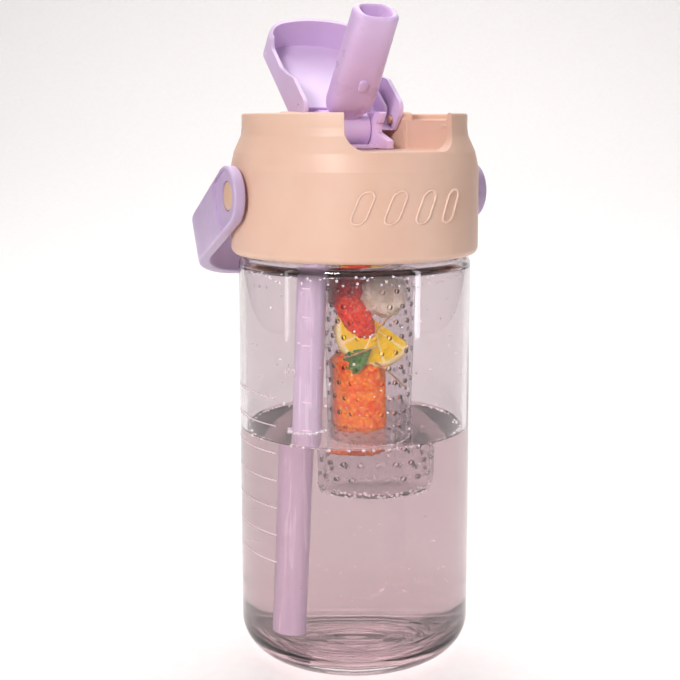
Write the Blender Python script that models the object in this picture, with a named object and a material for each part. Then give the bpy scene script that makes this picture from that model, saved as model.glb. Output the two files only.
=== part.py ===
"""A bottle for infused drinks: clear body, screw lid with a flip cover and folding spout, straw and infuser.

The object stands on its foot at the origin, +Z is up and its front faces -Y. It is built open, with the cover
standing up behind the raised spout and the handle hanging down at the rear.
"""

import math

import bmesh
import bpy

# Fineness of round shapes.
BODY_STEPS = 48
LID_STEPS = 48
RING_STEPS = 36
SMALL_STEPS = 20
EDGE_STEPS = 3
BAND_STEPS = 48
ARC_TURN = math.radians(15)
ARC_MISS = 0.00008
SMOOTH_ANGLE = math.radians(32)
MERGE = 0.000001
OVERRUN = 0.002

# Shares and counts.
HALF = 0.5
SIDES = (-1, 1)
HALF_TURN = math.pi
FULL_TURN = 2 * math.pi

# Gap left between pieces that touch, and the running gap of moving ones.
GAP = 0.0003
RUNNING_GAP = 0.0004

# Bottle body.
BODY_RADIUS = 0.042
BODY_WALL = 0.0024
FOOT_ROUND = 0.012
FOOT_INNER_ROUND = 0.0095
BASE_THICKNESS = 0.006
GROOVE_INNER = 0.012
GROOVE_OUTER = 0.026
GROOVE_DEPTH = 0.0008
GROOVE_SLOPE = 0.0015
BODY_HEIGHT = 0.1452
SHOULDER_RISE = 0.001
SHOULDER_START = BODY_HEIGHT
SHOULDER_END = SHOULDER_START + SHOULDER_RISE
SHOULDER_ROUND = 0.0025
NECK_STEP = 0.0058
NECK_WALL = 0.0022
NECK_RADIUS = BODY_RADIUS - NECK_STEP
NECK_INNER = NECK_RADIUS - NECK_WALL
NECK_INNER_RISE = 0.0013
NECK_INNER_START = SHOULDER_END + NECK_INNER_RISE
SHOULDER_WALL = 0.0027
SHOULDER_INNER_START = SHOULDER_START - SHOULDER_WALL
NECK_HEIGHT = 0.0168
MOUTH_TOP = SHOULDER_END + NECK_HEIGHT
MOUTH_ROUND = 0.0008

# Heights of what is stacked on the mouth, each from the one below it.
SEAL_HEIGHT = 0.0027
SEAL_BOTTOM = MOUTH_TOP + GAP
SEAL_TOP = SEAL_BOTTOM + SEAL_HEIGHT
LINER_DISC = 0.0026
LINER_DISC_BOTTOM = SEAL_TOP + GAP
LINER_TOP = LINER_DISC_BOTTOM + LINER_DISC
SOCKET_LIP_HEIGHT = 0.0015
SOCKET_LIP_BOTTOM = LINER_TOP + GAP
SOCKET_TOP = SOCKET_LIP_BOTTOM + SOCKET_LIP_HEIGHT
DUCT_HEIGHT = 0.0072
DUCT_BOTTOM = SOCKET_TOP + GAP
DUCT_TOP = DUCT_BOTTOM + DUCT_HEIGHT
SEAT_SINK = 0.005
SEAT_BOTTOM = DUCT_TOP + GAP
CHANNEL_FLOOR = SEAT_BOTTOM + SEAT_SINK
CHANNEL_DEPTH = 0.0105
DECK_TOP = CHANNEL_FLOOR + CHANNEL_DEPTH
RIM_RISE = 0.0025
RIM_TOP = DECK_TOP + RIM_RISE

# Lid shell.
LID_FOOT_GAP = 0.0004
LID_BOTTOM = SHOULDER_END + LID_FOOT_GAP
BAND_STEP = 0.0026
BAND_WALL = 0.0032
BAND_RADIUS = BODY_RADIUS + BAND_STEP
BAND_INNER = BAND_RADIUS - BAND_WALL
BAND_EDGE_ROUND = 0.0026
BAND_INNER_ROUND = 0.0004
LID_NECK_STEP = 0.0042
LID_NECK_CURVE = (
    (0.0, 0.0195),
    (0.0002, 0.0169),
    (0.0006, 0.0152),
    (0.0013, 0.0135),
    (0.0024, 0.0115),
    (0.0033, 0.0097),
    (0.0039, 0.0077),
)
RIM_STRAIGHT = 0.005
LID_NECK_TOP = RIM_TOP - RIM_STRAIGHT
RIM_WALL = 0.0026
RIM_RADIUS = BAND_RADIUS - LID_NECK_STEP
RIM_INNER = RIM_RADIUS - RIM_WALL
RIM_ROUND = 0.0009
DECK_ROUND = 0.001
DECK_WALL = 0.0125
DECK_UNDER = DECK_TOP - DECK_WALL
DECK_UNDER_STEP = 0.0032
DECK_UNDER_RADIUS = BAND_INNER - DECK_UNDER_STEP
SKIRT_SLOPE_HEIGHT = 0.005
SKIRT_TOP = DECK_UNDER - SKIRT_SLOPE_HEIGHT
POCKET_WALL = 0.002
CHANNEL_WALL = 0.0022
POCKET_RADIUS = RIM_INNER - POCKET_WALL
POCKET_ROOF = 0.0025
POCKET_TOP = DECK_TOP - POCKET_ROOF

# Channel across the lid.
CHANNEL_HALF = 0.02
POCKET_SIDE = CHANNEL_HALF + CHANNEL_WALL
RIB_FORWARD = 0.001
CHANNEL_ROUND = 0.001
MOUTH_CUT_ROUND = 0.0065
MOUTH_CUT_DEPTH = 0.0121
MOUTH_CUT_FROM = MOUTH_CUT_DEPTH - BAND_RADIUS
RIB_RISE = 0.0003
RIB_DROP = 0.0005
RIB_TOP = DECK_TOP - RIB_DROP
SNAP_BACK = 0.003
SNAP_Y = MOUTH_CUT_FROM + SNAP_BACK
SNAP_DROP = 0.002
SNAP_Z = DECK_TOP - SNAP_DROP
SNAP_LENGTH = 0.003
SNAP_HEIGHT = 0.0012
SNAP_RISE = 0.00025

# Hinge of the cover and the lugs that hold its pins.
PIVOT_Y = 0.0123
HINGE_FORWARD = 0.00535
HINGE_RISE = 0.00015
HINGE_Y = PIVOT_Y - HINGE_FORWARD
HINGE_Z = DECK_TOP + HINGE_RISE
COVER_OPEN = math.radians(140)
LUG_DEPTH = 0.0046
LUG_HALF = 0.00535
LUG_RISE = 0.0031
LUG_FRONT = HINGE_Y - LUG_HALF
LUG_REAR = HINGE_Y + LUG_HALF
LUG_TOP = DECK_TOP + LUG_RISE
RIB_LENGTH = 0.003
RIB_REAR = LUG_FRONT - RIB_FORWARD
RIB_FRONT = RIB_REAR - RIB_LENGTH
LUG_ROUND = 0.0022
COVER_PIN_RADIUS = 0.0014
COVER_PIN_HOLE = 0.0017
COVER_PIN_IN = 0.0028
COVER_PIN_OUT = 0.0024
COVER_PIN_INNER = CHANNEL_HALF - COVER_PIN_IN
COVER_PIN_OUTER = CHANNEL_HALF + COVER_PIN_OUT
COVER_PIN_BLIND = COVER_PIN_OUTER + GAP

# Cover, measured forward from its hinge and down from its top face.
COVER_RISE = 0.00385
COVER_HALF = CHANNEL_HALF - RUNNING_GAP
COVER_REACH = 0.00305
COVER_LENGTH = BAND_RADIUS + HINGE_Y - COVER_REACH
COVER_FRONT_STEP = 0.004
COVER_FRONT_RADIUS = BAND_RADIUS - COVER_FRONT_STEP
COVER_CORNER = 0.005
COVER_WALL = 0.0016
COVER_TOP_WALL = 0.002
COVER_EDGE_ROUND = 0.0015
COVER_REAR = -0.0038
COVER_DEPTH = 0.0137
SKIRT_DEPTH = 0.0135
COVER_SIDE_FRONT = (
    (0.0080, 0.0135, 0.003),
    (0.0120, 0.0083, 0.003),
)
COVER_SIDE_REAR = (
    (0.0240, 0.0083, 0.005),
    (0.0172, 0.0108, 0.003),
    (0.0122, 0.0132, 0.0025),
    (-0.0038, 0.0132, 0.004),
)
EAR_TOP_ROUND = 0.0036
SKIRT_CORNER = 0.0061
SKIRT_BACK = 0.010
SKIRT_FROM = COVER_LENGTH - SKIRT_BACK
NOTCH_HALF = 0.013
NOTCH_LENGTH = 0.0092
NOTCH_ROUND = 0.002
INNER_RIB_AT = 0.0152
INNER_RIB_WALL = 0.0012
INNER_RIB_START = 0.0012
INNER_RIB_END = 0.0165
INNER_RIB_DEPTH = 0.0078
INNER_RIB_ROUND = 0.005
DIMPLE_AT = 0.002
DIMPLE_DOWN = 0.0085
DIMPLE_RADIUS = 0.0009
DIMPLE_DEPTH = 0.0007
SIDE_NUB_BACK = 0.0095
SIDE_NUB_AT = COVER_LENGTH - SIDE_NUB_BACK
SIDE_NUB_DOWN = 0.0028
SIDE_NUB_RADIUS = 0.0011
SIDE_NUB_RISE = 0.0002

# Spout, measured along its tube from its pivot.
SPOUT_RAISED = math.radians(54.5)
SPOUT_OFFSET = 0.0011
SPOUT_LENGTH = 0.0505
SPOUT_SECTIONS = (
    (0.0070, 0.0060, 0.0030),
    (0.0082, 0.0070, 0.0036),
    (0.0096, 0.0078, 0.0044),
    (0.0112, 0.0083, 0.0051),
    (0.0130, 0.0086, 0.0056),
    (0.0165, 0.0087, 0.0058),
)
SPOUT_ROOT_START = 0.0
SPOUT_ROOT_HALF = 0.0057
SPOUT_ROOT_DEPTH = 0.0029
MOUTH_HALF = 0.0082
MOUTH_DEPTH = 0.0056
LIP_ROUND = 0.0016
SPOUT_BORE_HALF = 0.0055
SPOUT_BORE_DEPTH = 0.0038
SPOUT_SQUARENESS = 2.3
SPOUT_RING_STEPS = 28
BORE_NECK_HALF = 0.0038
BORE_NECK_DEPTH = 0.0021
BORE_NECK_END = 0.0120
BORE_WIDE_START = 0.0170
DRUM_RADIUS = 0.0068
SEAT_RISE = 0.0002
SEAT_TOP = CHANNEL_FLOOR + SEAT_RISE
PIVOT_Z = SEAT_TOP + RUNNING_GAP + DRUM_RADIUS
DRUM_HALF = 0.0094
AXLE_RADIUS = 0.0024
AXLE_HALF = 0.0121
DRUM_BORE = 0.0034
SPOUT_NUB_AT = 0.0235
SPOUT_NUB_LENGTH = 0.0046
SPOUT_NUB_HALF = 0.0016
SPOUT_NUB_RISE = 0.0009
SPOUT_FRONT_FACE = 0.0069
NUB_RECESS_DEPTH = 0.0010
NUB_RECESS_MARGIN = 0.0009

# Seat of the spout.
CHEEK_WALL = 0.0027
SEAT_CHEEK_INNER = DRUM_HALF + RUNNING_GAP
SEAT_HALF = SEAT_CHEEK_INNER + CHEEK_WALL
SEAT_AHEAD = 0.0071
SEAT_BEHIND = 0.0073
SEAT_REAR_GAP = 0.0006
SEAT_FRONT = PIVOT_Y - SEAT_AHEAD
SEAT_REAR = PIVOT_Y + SEAT_BEHIND
CHANNEL_REAR = SEAT_REAR + SEAT_REAR_GAP
CHEEK_AHEAD = 0.0190
CHEEK_BEHIND = 0.0063
CHEEK_TAIL_AHEAD = 0.0067
CHEEK_ROOT = 0.0005
CHEEK_TAIL_ROUND = 0.0004
CHEEK_CURVE = (
    (-0.0063, 0.0062, 0.0058),
    (0.0134, 0.0062, 0.0008),
    (0.0115, 0.0023, 0.0006),
    (0.0096, 0.0018, 0.0006),
    (0.0096, -0.0011, 0.0006),
    (0.0190, -0.0041, 0.0008),
)
SADDLE_AHEAD = 0.0107
SADDLE_WIDTH = 0.0024
SADDLE_HEIGHT = 0.0015
SADDLE_FRONT = PIVOT_Y - SADDLE_AHEAD
SADDLE_REAR = SADDLE_FRONT + SADDLE_WIDTH
SADDLE_BOTTOM = CHANNEL_FLOOR + GAP
SADDLE_TOP = SADDLE_BOTTOM + SADDLE_HEIGHT
SADDLE_OVERLAP = 0.0005
SEAT_BORE = 0.0042
SEAL_BORE = 0.0059
SEAL_BORE_DEPTH = 0.0029
SEAL_BORE_FLOOR = SEAT_TOP - SEAL_BORE_DEPTH

# Ring between spout and seat.
SPOUT_SEAL_OUTER = 0.0056
SPOUT_SEAL_INNER = 0.0042
SPOUT_SEAL_BOTTOM = SEAL_BORE_FLOOR + GAP
SPOUT_SEAL_TOP = SEAT_TOP - GAP
SPOUT_SEAL_ROUND = 0.0005

# Duct from the straw to the spout.
DUCT_HALF = 0.0066
DUCT_WALL = 0.0013
DUCT_HOLE = 0.0042

# Inner cap with the thread, and the ring that seals the mouth.
LINER_GAP = 0.0005
THREAD_GAP = 0.0014
LINER_OUTER = BAND_INNER - LINER_GAP
LINER_INNER = NECK_RADIUS + THREAD_GAP
LINER_FOOT = 0.0016
LINER_BOTTOM = LID_BOTTOM + LINER_FOOT
LINER_ROUND = 0.0006
SEAL_OVERHANG = 0.0004
SEAL_INSET = 0.0002
SEAL_OUTER = NECK_RADIUS + SEAL_OVERHANG
SEAL_INNER = NECK_INNER - SEAL_INSET
SEAL_ROUND = 0.0006
VENT_X = 0.0
VENT_INSET = 0.0055
VENT_Y = VENT_INSET - NECK_INNER
VENT_RADIUS = 0.0012

# Straw and the socket that holds it, leaning outward by the same slope.
STRAW_X = -0.017
STRAW_Y = -0.003
STRAW_LEAN = 0.006
STRAW_RADIUS = 0.0053
STRAW_WALL = 0.0009
STRAW_FOOT_GAP = 0.0045
STRAW_END_ROUND = 0.0003
SOCKET_RADIUS = 0.0064
SOCKET_BORE = 0.0056
SOCKET_THROAT = 0.0040
SOCKET_STEP_DROP = 0.0012
SOCKET_DEPTH = 0.0091
SOCKET_STEP = LINER_DISC_BOTTOM - SOCKET_STEP_DROP
SOCKET_BOTTOM = SOCKET_STEP - SOCKET_DEPTH
SOCKET_LIP = 0.0074
SOCKET_ROUND = 0.0004
STRAW_BOTTOM = BASE_THICKNESS + STRAW_FOOT_GAP
STRAW_TOP = SOCKET_STEP - GAP
STRAW_LEAN_SHARE = STRAW_LEAN / (STRAW_TOP - STRAW_BOTTOM)

# Infuser cup and the collar that it hangs on.
INFUSER_X = 0.0075
INFUSER_Y = 0.003
CUP_LENGTH = 0.1069
CUP_TOP = LINER_DISC_BOTTOM - RUNNING_GAP
CUP_BOTTOM = CUP_TOP - CUP_LENGTH
CUP_TOP_RADIUS = 0.0183
CUP_BOTTOM_RADIUS = 0.015
CUP_WALL = 0.0012
CUP_FLOOR = 0.0014
CUP_FOOT_ROUND = 0.0025
CUP_EDGE_ROUND = 0.0004
CUP_HOLE_RADIUS = 0.0014
CUP_HOLE_SIDES = 6
CUP_HOLE_ROWS = 6
CUP_HOLE_COLUMNS = 10
CUP_HOLE_RISE = 0.01
CUP_HOLE_FIRST = CUP_BOTTOM + CUP_HOLE_RISE
CUP_HOLE_PITCH = 0.0125
CUP_FLOOR_RINGS = ((0.0, 1), (0.0078, 8))
COLLAR_OUTER = 0.0165
COLLAR_INNER = 0.0148
COLLAR_HEIGHT = 0.009
COLLAR_TOP = LINER_DISC_BOTTOM - GAP
COLLAR_BOTTOM = COLLAR_TOP - COLLAR_HEIGHT
COLLAR_ROUND = 0.0005

# Handle, measured from its pivot with the arms level.
HANDLE_RISE = 0.0214
HANDLE_Z = LID_BOTTOM + HANDLE_RISE
HANDLE_HANG = math.radians(27)
HANDLE_GAP = 0.0007
HANDLE_WALL = 0.0042
HANDLE_INNER = BAND_RADIUS + HANDLE_GAP
HANDLE_OUTER = HANDLE_INNER + HANDLE_WALL
BOSS_RADIUS = 0.0105
STRAP_HALF = 0.0082
STRAP_CLEARANCE = 0.011
STRAP_WALL = 0.0045
STRAP_REACH = BODY_RADIUS + STRAP_CLEARANCE + STRAP_WALL
STRAP_CORNER = 0.023
BOSS_RECESS_RADIUS = 0.0095
BOSS_RECESS_DEPTH = 0.001
PIN_SHAFT = 0.0032
PIN_HOLE = 0.0035
PIN_CAP = 0.005
PIN_CAP_HOLE = 0.0053
PIN_CAP_SINK = 0.001
PIN_CAP_THICKNESS = 0.0014
PIN_CAP_OUTER = HANDLE_OUTER - PIN_CAP_SINK
PIN_CAP_INNER = PIN_CAP_OUTER - PIN_CAP_THICKNESS
PIN_CAP_FLOOR = PIN_CAP_INNER - GAP
PIN_INNER = BAND_INNER + GAP
PIN_CAP_ROUND = 0.0004


def clear_scene():
    """Remove every object of the scene."""
    for obj in list(bpy.data.objects):
        bpy.data.objects.remove(obj, do_unlink=True)


def material(name, color, roughness, transmission=0.0, index=1.5):
    """A plain plastic or rubber surface of its own."""
    made = bpy.data.materials.new(name)
    made.use_nodes = True
    shader = made.node_tree.nodes["Principled BSDF"]
    shader.inputs["Base Color"].default_value = (*color, 1.0)
    shader.inputs["Roughness"].default_value = roughness
    shader.inputs["Transmission Weight"].default_value = transmission
    shader.inputs["IOR"].default_value = index
    return made


def clear_copolyester():
    return material("clear_copolyester", (0.93, 0.94, 0.94), 0.04, 1.0, 1.54)


def clear_cup():
    return material("clear_cup", (0.9, 0.91, 0.91), 0.06, 1.0, 1.54)


def peach_plastic(name):
    return material(name, (0.81, 0.56, 0.42), 0.42)


def lilac_plastic(name):
    return material(name, (0.62, 0.49, 0.73), 0.38)


def straw_plastic():
    return material("straw_plastic", (0.72, 0.58, 0.74), 0.3, 0.35, 1.49)


def inner_plastic(name):
    return material(name, (0.82, 0.72, 0.66), 0.4)


def silicone(name):
    return material(name, (0.8, 0.8, 0.78), 0.6)


def filleted(corners):
    """A closed outline from its corners, each with the radius of its rounding."""
    outline = []
    count = len(corners)
    for index, (a, b, radius) in enumerate(corners):
        if radius <= 0:
            outline.append((a, b))
            continue
        before = corners[index - 1]
        after = corners[(index + 1) % count]
        in_a, in_b = before[0] - a, before[1] - b
        out_a, out_b = after[0] - a, after[1] - b
        in_length = math.hypot(in_a, in_b)
        out_length = math.hypot(out_a, out_b)
        in_a, in_b = in_a / in_length, in_b / in_length
        out_a, out_b = out_a / out_length, out_b / out_length
        between = math.acos(max(-1, min(1, in_a * out_a + in_b * out_b)))
        run = radius / math.tan(between * HALF)
        middle_a, middle_b = in_a + out_a, in_b + out_b
        middle = math.hypot(middle_a, middle_b)
        reach = radius / math.sin(between * HALF)
        centre_a = a + middle_a / middle * reach
        centre_b = b + middle_b / middle * reach
        start = math.atan2(b + in_b * run - centre_b, a + in_a * run - centre_a)
        end = math.atan2(b + out_b * run - centre_b, a + out_a * run - centre_a)
        turn = (end - start + HALF_TURN) % FULL_TURN - HALF_TURN
        finest = 2 * math.acos(max(HALF, 1 - ARC_MISS / radius))
        steps = max(1, math.ceil(abs(turn) / finest))
        for step in range(steps + 1):
            angle = start + turn * step / steps
            outline.append((centre_a + radius * math.cos(angle), centre_b + radius * math.sin(angle)))
    return outline


def circle(radius, steps, centre=(0, 0)):
    """Points round a circle."""
    turns = [FULL_TURN * step / steps for step in range(steps)]
    return [(centre[0] + radius * math.cos(turn), centre[1] + radius * math.sin(turn)) for turn in turns]


def rectangle(a_low, a_high, b_low, b_high):
    """The four corners of an upright rectangle."""
    return [(a_low, b_low), (a_high, b_low), (a_high, b_high), (a_low, b_high)]


def solid(name, points, faces, paint=None, smooth=True):
    """A mesh object with its faces turned outward; without a paint it is a hidden cutter."""
    mesh = bpy.data.meshes.new(name)
    mesh.from_pydata(points, [], faces)
    work = bmesh.new()
    work.from_mesh(mesh)
    bmesh.ops.remove_doubles(work, verts=work.verts, dist=MERGE)
    bmesh.ops.recalc_face_normals(work, faces=work.faces)
    work.to_mesh(mesh)
    work.free()
    obj = bpy.data.objects.new(name, mesh)
    bpy.context.scene.collection.objects.link(obj)
    if paint is None:
        obj.hide_render = True
        obj.display_type = "WIRE"
        return obj
    mesh.materials.append(paint)
    if smooth:
        mesh.polygons.foreach_set("use_smooth", [True] * len(mesh.polygons))
        mesh.set_sharp_from_angle(angle=SMOOTH_ANGLE)
    return obj


def revolved(name, outline, steps, paint=None, centre=(0, 0), slope=0.0, level=0.0):
    """A closed outline of radius and height turned round an upright line, which may lean along X."""
    points = []
    rows = []
    for radius, height in outline:
        shift = slope * (height - level)
        if radius <= MERGE:
            rows.append([len(points)] * steps)
            points.append((centre[0] + shift, centre[1], height))
            continue
        rows.append([len(points) + step for step in range(steps)])
        for a, b in circle(radius, steps, centre):
            points.append((a + shift, b, height))
    faces = []
    for index, row in enumerate(rows):
        following = rows[(index + 1) % len(rows)]
        for step in range(steps):
            other = (step + 1) % steps
            face = [row[step], row[other], following[other], following[step]]
            corners = list(dict.fromkeys(face))
            if len(corners) > 2:
                faces.append(corners)
    return solid(name, points, faces, paint)


def prism(name, outline, axis, low, high, paint=None, smooth=True):
    """A closed outline drawn out along one axis from low to high."""
    place = {
        "X": lambda a, b, run: (run, a, b),
        "Y": lambda a, b, run: (a, run, b),
        "Z": lambda a, b, run: (a, b, run),
    }[axis]
    count = len(outline)
    points = [place(a, b, low) for a, b in outline] + [place(a, b, high) for a, b in outline]
    faces = [list(range(count)), list(range(count, 2 * count))]
    for index in range(count):
        other = (index + 1) % count
        faces.append([index, other, count + other, count + index])
    return solid(name, points, faces, paint, smooth)


def lofted(name, rings, paint=None):
    """A body through rings with the same number of points, closed at both ends."""
    count = len(rings[0])
    points = [point for ring in rings for point in ring]
    faces = [list(range(count)), list(range(len(points) - count, len(points)))]
    for row in range(len(rings) - 1):
        for index in range(count):
            other = (index + 1) % count
            start = row * count
            faces.append([start + index, start + other, start + count + other, start + count + index])
    return solid(name, points, faces, paint)


def combine(obj, others, operation):
    """Cut the others from the object, join them to it or keep what they share with it."""
    for other in others:
        other.hide_render = True
        other.display_type = "WIRE"
        modifier = obj.modifiers.new(other.name, "BOOLEAN")
        modifier.operation = operation
        modifier.solver = "EXACT"
        modifier.object = other


def place(objects, origin, turn=0.0):
    """Put objects drawn round their own joint axis at that axis, turned round X."""
    for obj in objects:
        obj.location = origin
        obj.rotation_euler = (turn, 0, 0)


def body_outline():
    """Wall of the bottle from the middle of the foot up the outside and down the inside."""
    inner = BODY_RADIUS - BODY_WALL
    return filleted(
        [
            (0, 0, 0),
            (GROOVE_INNER, 0, 0),
            (GROOVE_INNER + GROOVE_SLOPE, GROOVE_DEPTH, 0),
            (GROOVE_OUTER - GROOVE_SLOPE, GROOVE_DEPTH, 0),
            (GROOVE_OUTER, 0, 0),
            (BODY_RADIUS, 0, FOOT_ROUND),
            (BODY_RADIUS, SHOULDER_START, SHOULDER_ROUND),
            (NECK_RADIUS, SHOULDER_END, 0),
            (NECK_RADIUS, MOUTH_TOP, MOUTH_ROUND),
            (NECK_INNER, MOUTH_TOP, MOUTH_ROUND),
            (NECK_INNER, NECK_INNER_START, SHOULDER_ROUND),
            (inner, SHOULDER_INNER_START, SHOULDER_ROUND),
            (inner, BASE_THICKNESS, FOOT_INNER_ROUND),
            (0, BASE_THICKNESS, 0),
        ]
    )


def bottle_body():
    return revolved("bottle_body", body_outline(), BODY_STEPS, clear_copolyester())


def lid_outline():
    """Skirt, band, curved neck, rim and deck of the lid, with a solid deck that the cutters open."""
    band = [(BAND_RADIUS - step, RIM_TOP - down, 0) for step, down in LID_NECK_CURVE]
    band.append((RIM_RADIUS, LID_NECK_TOP, 0))
    return filleted(
        [
            (BAND_INNER, LID_BOTTOM, BAND_INNER_ROUND),
            (BAND_RADIUS, LID_BOTTOM, BAND_EDGE_ROUND),
            *band,
            (RIM_RADIUS, RIM_TOP, RIM_ROUND),
            (RIM_INNER, RIM_TOP, RIM_ROUND),
            (RIM_INNER, DECK_TOP, DECK_ROUND),
            (0, DECK_TOP, 0),
            (0, DECK_UNDER, 0),
            (DECK_UNDER_RADIUS, DECK_UNDER, 0),
            (BAND_INNER, SKIRT_TOP, 0),
        ]
    )


def channel_cutters():
    """The channel from its rear end to the front, with rounder lower corners where it breaks the rim."""
    top = LUG_TOP + OVERRUN
    front = BAND_RADIUS + OVERRUN
    inner = [
        (-CHANNEL_HALF, CHANNEL_FLOOR, CHANNEL_ROUND),
        (CHANNEL_HALF, CHANNEL_FLOOR, CHANNEL_ROUND),
        (CHANNEL_HALF, top, 0),
        (-CHANNEL_HALF, top, 0),
    ]
    outer = [
        (-CHANNEL_HALF, CHANNEL_FLOOR, MOUTH_CUT_ROUND),
        (CHANNEL_HALF, CHANNEL_FLOOR, MOUTH_CUT_ROUND),
        (CHANNEL_HALF, top, 0),
        (-CHANNEL_HALF, top, 0),
    ]
    return [
        prism("channel_cutter", filleted(inner), "Y", MOUTH_CUT_FROM, CHANNEL_REAR),
        prism("cut_out_cutter", filleted(outer), "Y", -front, MOUTH_CUT_FROM + GAP),
    ]


def pocket_outline(side):
    """Segment of a circle beyond one wall of the channel."""
    half = math.acos(POCKET_SIDE / POCKET_RADIUS)
    steps = max(2, math.ceil(2 * half / ARC_TURN))
    turns = [half * (2 * step / steps - 1) for step in range(steps + 1)]
    return [(side * POCKET_RADIUS * math.cos(turn), POCKET_RADIUS * math.sin(turn)) for turn in turns]


def pocket_cutters():
    """The two hollows under the deck, one on each side of the channel."""
    low = DECK_UNDER - OVERRUN
    return [
        prism(f"pocket_cutter_{index}", pocket_outline(side), "Z", low, POCKET_TOP)
        for index, side in enumerate(SIDES)
    ]


def x_rod(name, radius, low, high, y=0.0, z=0.0, steps=SMALL_STEPS, paint=None):
    """A round rod along X."""
    return prism(name, circle(radius, steps, (y, z)), "X", low, high, paint)


def lug_blocks():
    """The two lugs beside the channel that hold the pins of the cover."""
    outline = filleted(
        [
            (LUG_FRONT, DECK_TOP - OVERRUN, 0),
            (LUG_REAR, DECK_TOP - OVERRUN, 0),
            (LUG_REAR, LUG_TOP, LUG_ROUND),
            (LUG_FRONT, LUG_TOP, LUG_ROUND),
        ]
    )
    blocks = []
    for index, side in enumerate(SIDES):
        ends = sorted((side * CHANNEL_HALF, side * (CHANNEL_HALF + LUG_DEPTH)))
        blocks.append(prism(f"lug_{index}", outline, "X", *ends))
    return blocks


def wall_ribs():
    """Upright ribs and small snap nubs on the side walls of the channel."""
    made = []
    for index, side in enumerate(SIDES):
        reach = CHANNEL_HALF + OVERRUN
        ends = sorted((side * (CHANNEL_HALF - RIB_RISE), side * reach))
        low = CHANNEL_FLOOR - OVERRUN * HALF
        made.append(prism(f"rib_{index}", rectangle(RIB_FRONT, RIB_REAR, low, RIB_TOP), "X", *ends))
        half_length, half_height = SNAP_LENGTH * HALF, SNAP_HEIGHT * HALF
        snap = filleted(
            [
                (SNAP_Y - half_length, SNAP_Z - half_height, half_height * HALF),
                (SNAP_Y + half_length, SNAP_Z - half_height, half_height * HALF),
                (SNAP_Y + half_length, SNAP_Z + half_height, half_height * HALF),
                (SNAP_Y - half_length, SNAP_Z + half_height, half_height * HALF),
            ]
        )
        ends = sorted((side * (CHANNEL_HALF - SNAP_RISE), side * reach))
        made.append(prism(f"snap_{index}", snap, "X", *ends))
    return made


def lid_shell():
    """The peach lid with its channel, pockets, lugs, pin holes and the hole for the spout's seat."""
    shell = revolved("lid_shell", lid_outline(), LID_STEPS, peach_plastic("peach_lid"))
    combine(shell, channel_cutters() + pocket_cutters(), "DIFFERENCE")
    combine(shell, lug_blocks() + wall_ribs(), "UNION")
    seat_low = min(SEAT_BOTTOM, DECK_UNDER) - OVERRUN
    seat_edges = (-SEAT_HALF - GAP, SEAT_HALF + GAP, SEAT_FRONT - GAP, SEAT_REAR + GAP)
    cutters = [prism("seat_hole", rectangle(*seat_edges), "Z", seat_low, CHANNEL_FLOOR + OVERRUN)]
    for index, side in enumerate(SIDES):
        ends = sorted((side * (CHANNEL_HALF - OVERRUN), side * COVER_PIN_BLIND))
        cutters.append(x_rod(f"cover_pin_hole_{index}", COVER_PIN_HOLE, *ends, y=HINGE_Y, z=HINGE_Z))
        ends = sorted((side * (BAND_INNER - OVERRUN), side * (BAND_RADIUS + OVERRUN)))
        cutters.append(x_rod(f"handle_pin_hole_{index}", PIN_HOLE, *ends, z=HANDLE_Z))
    recess_y = PIVOT_Y - SPOUT_NUB_AT
    half_x = SPOUT_NUB_HALF + NUB_RECESS_MARGIN
    half_y = SPOUT_NUB_LENGTH * HALF + NUB_RECESS_MARGIN
    recess = filleted(
        [
            (-half_x, recess_y - half_y, half_x * HALF),
            (half_x, recess_y - half_y, half_x * HALF),
            (half_x, recess_y + half_y, half_x * HALF),
            (-half_x, recess_y + half_y, half_x * HALF),
        ]
    )
    cutters.append(
        prism("nub_recess", recess, "Z", CHANNEL_FLOOR - NUB_RECESS_DEPTH, CHANNEL_FLOOR + OVERRUN)
    )
    combine(shell, cutters, "DIFFERENCE")
    return shell


def cover_plan(inset, rear):
    """Outline of the cover from above, with a front arc and round front corners, smaller by the inset."""
    half = COVER_HALF - inset
    corner = COVER_CORNER - inset
    radius = COVER_FRONT_RADIUS - inset
    centre = COVER_LENGTH - COVER_FRONT_RADIUS
    small = math.sqrt((radius - corner) ** 2 - (half - corner) ** 2)
    tangent = math.atan2(half - corner, small)
    outline = [(half, -rear)]
    quarter = HALF_TURN * HALF
    steps = max(2, math.ceil((quarter - tangent) / ARC_TURN))
    for step in range(steps + 1):
        turn = quarter + (tangent - quarter) * step / steps
        outline.append((half - corner + corner * math.sin(turn), -(centre + small + corner * math.cos(turn))))
    steps = max(2, math.ceil(2 * tangent / (ARC_TURN * HALF)))
    for step in range(1, steps):
        turn = tangent * (1 - 2 * step / steps)
        outline.append((radius * math.sin(turn), -(centre + radius * math.cos(turn))))
    for step in range(max(2, math.ceil((quarter - tangent) / ARC_TURN)) + 1):
        steps = max(2, math.ceil((quarter - tangent) / ARC_TURN))
        turn = tangent + (quarter - tangent) * step / steps
        outline.append((corner - half - corner * math.sin(turn), -(centre + small + corner * math.cos(turn))))
    outline.append((-half, -rear))
    return outline


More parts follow.
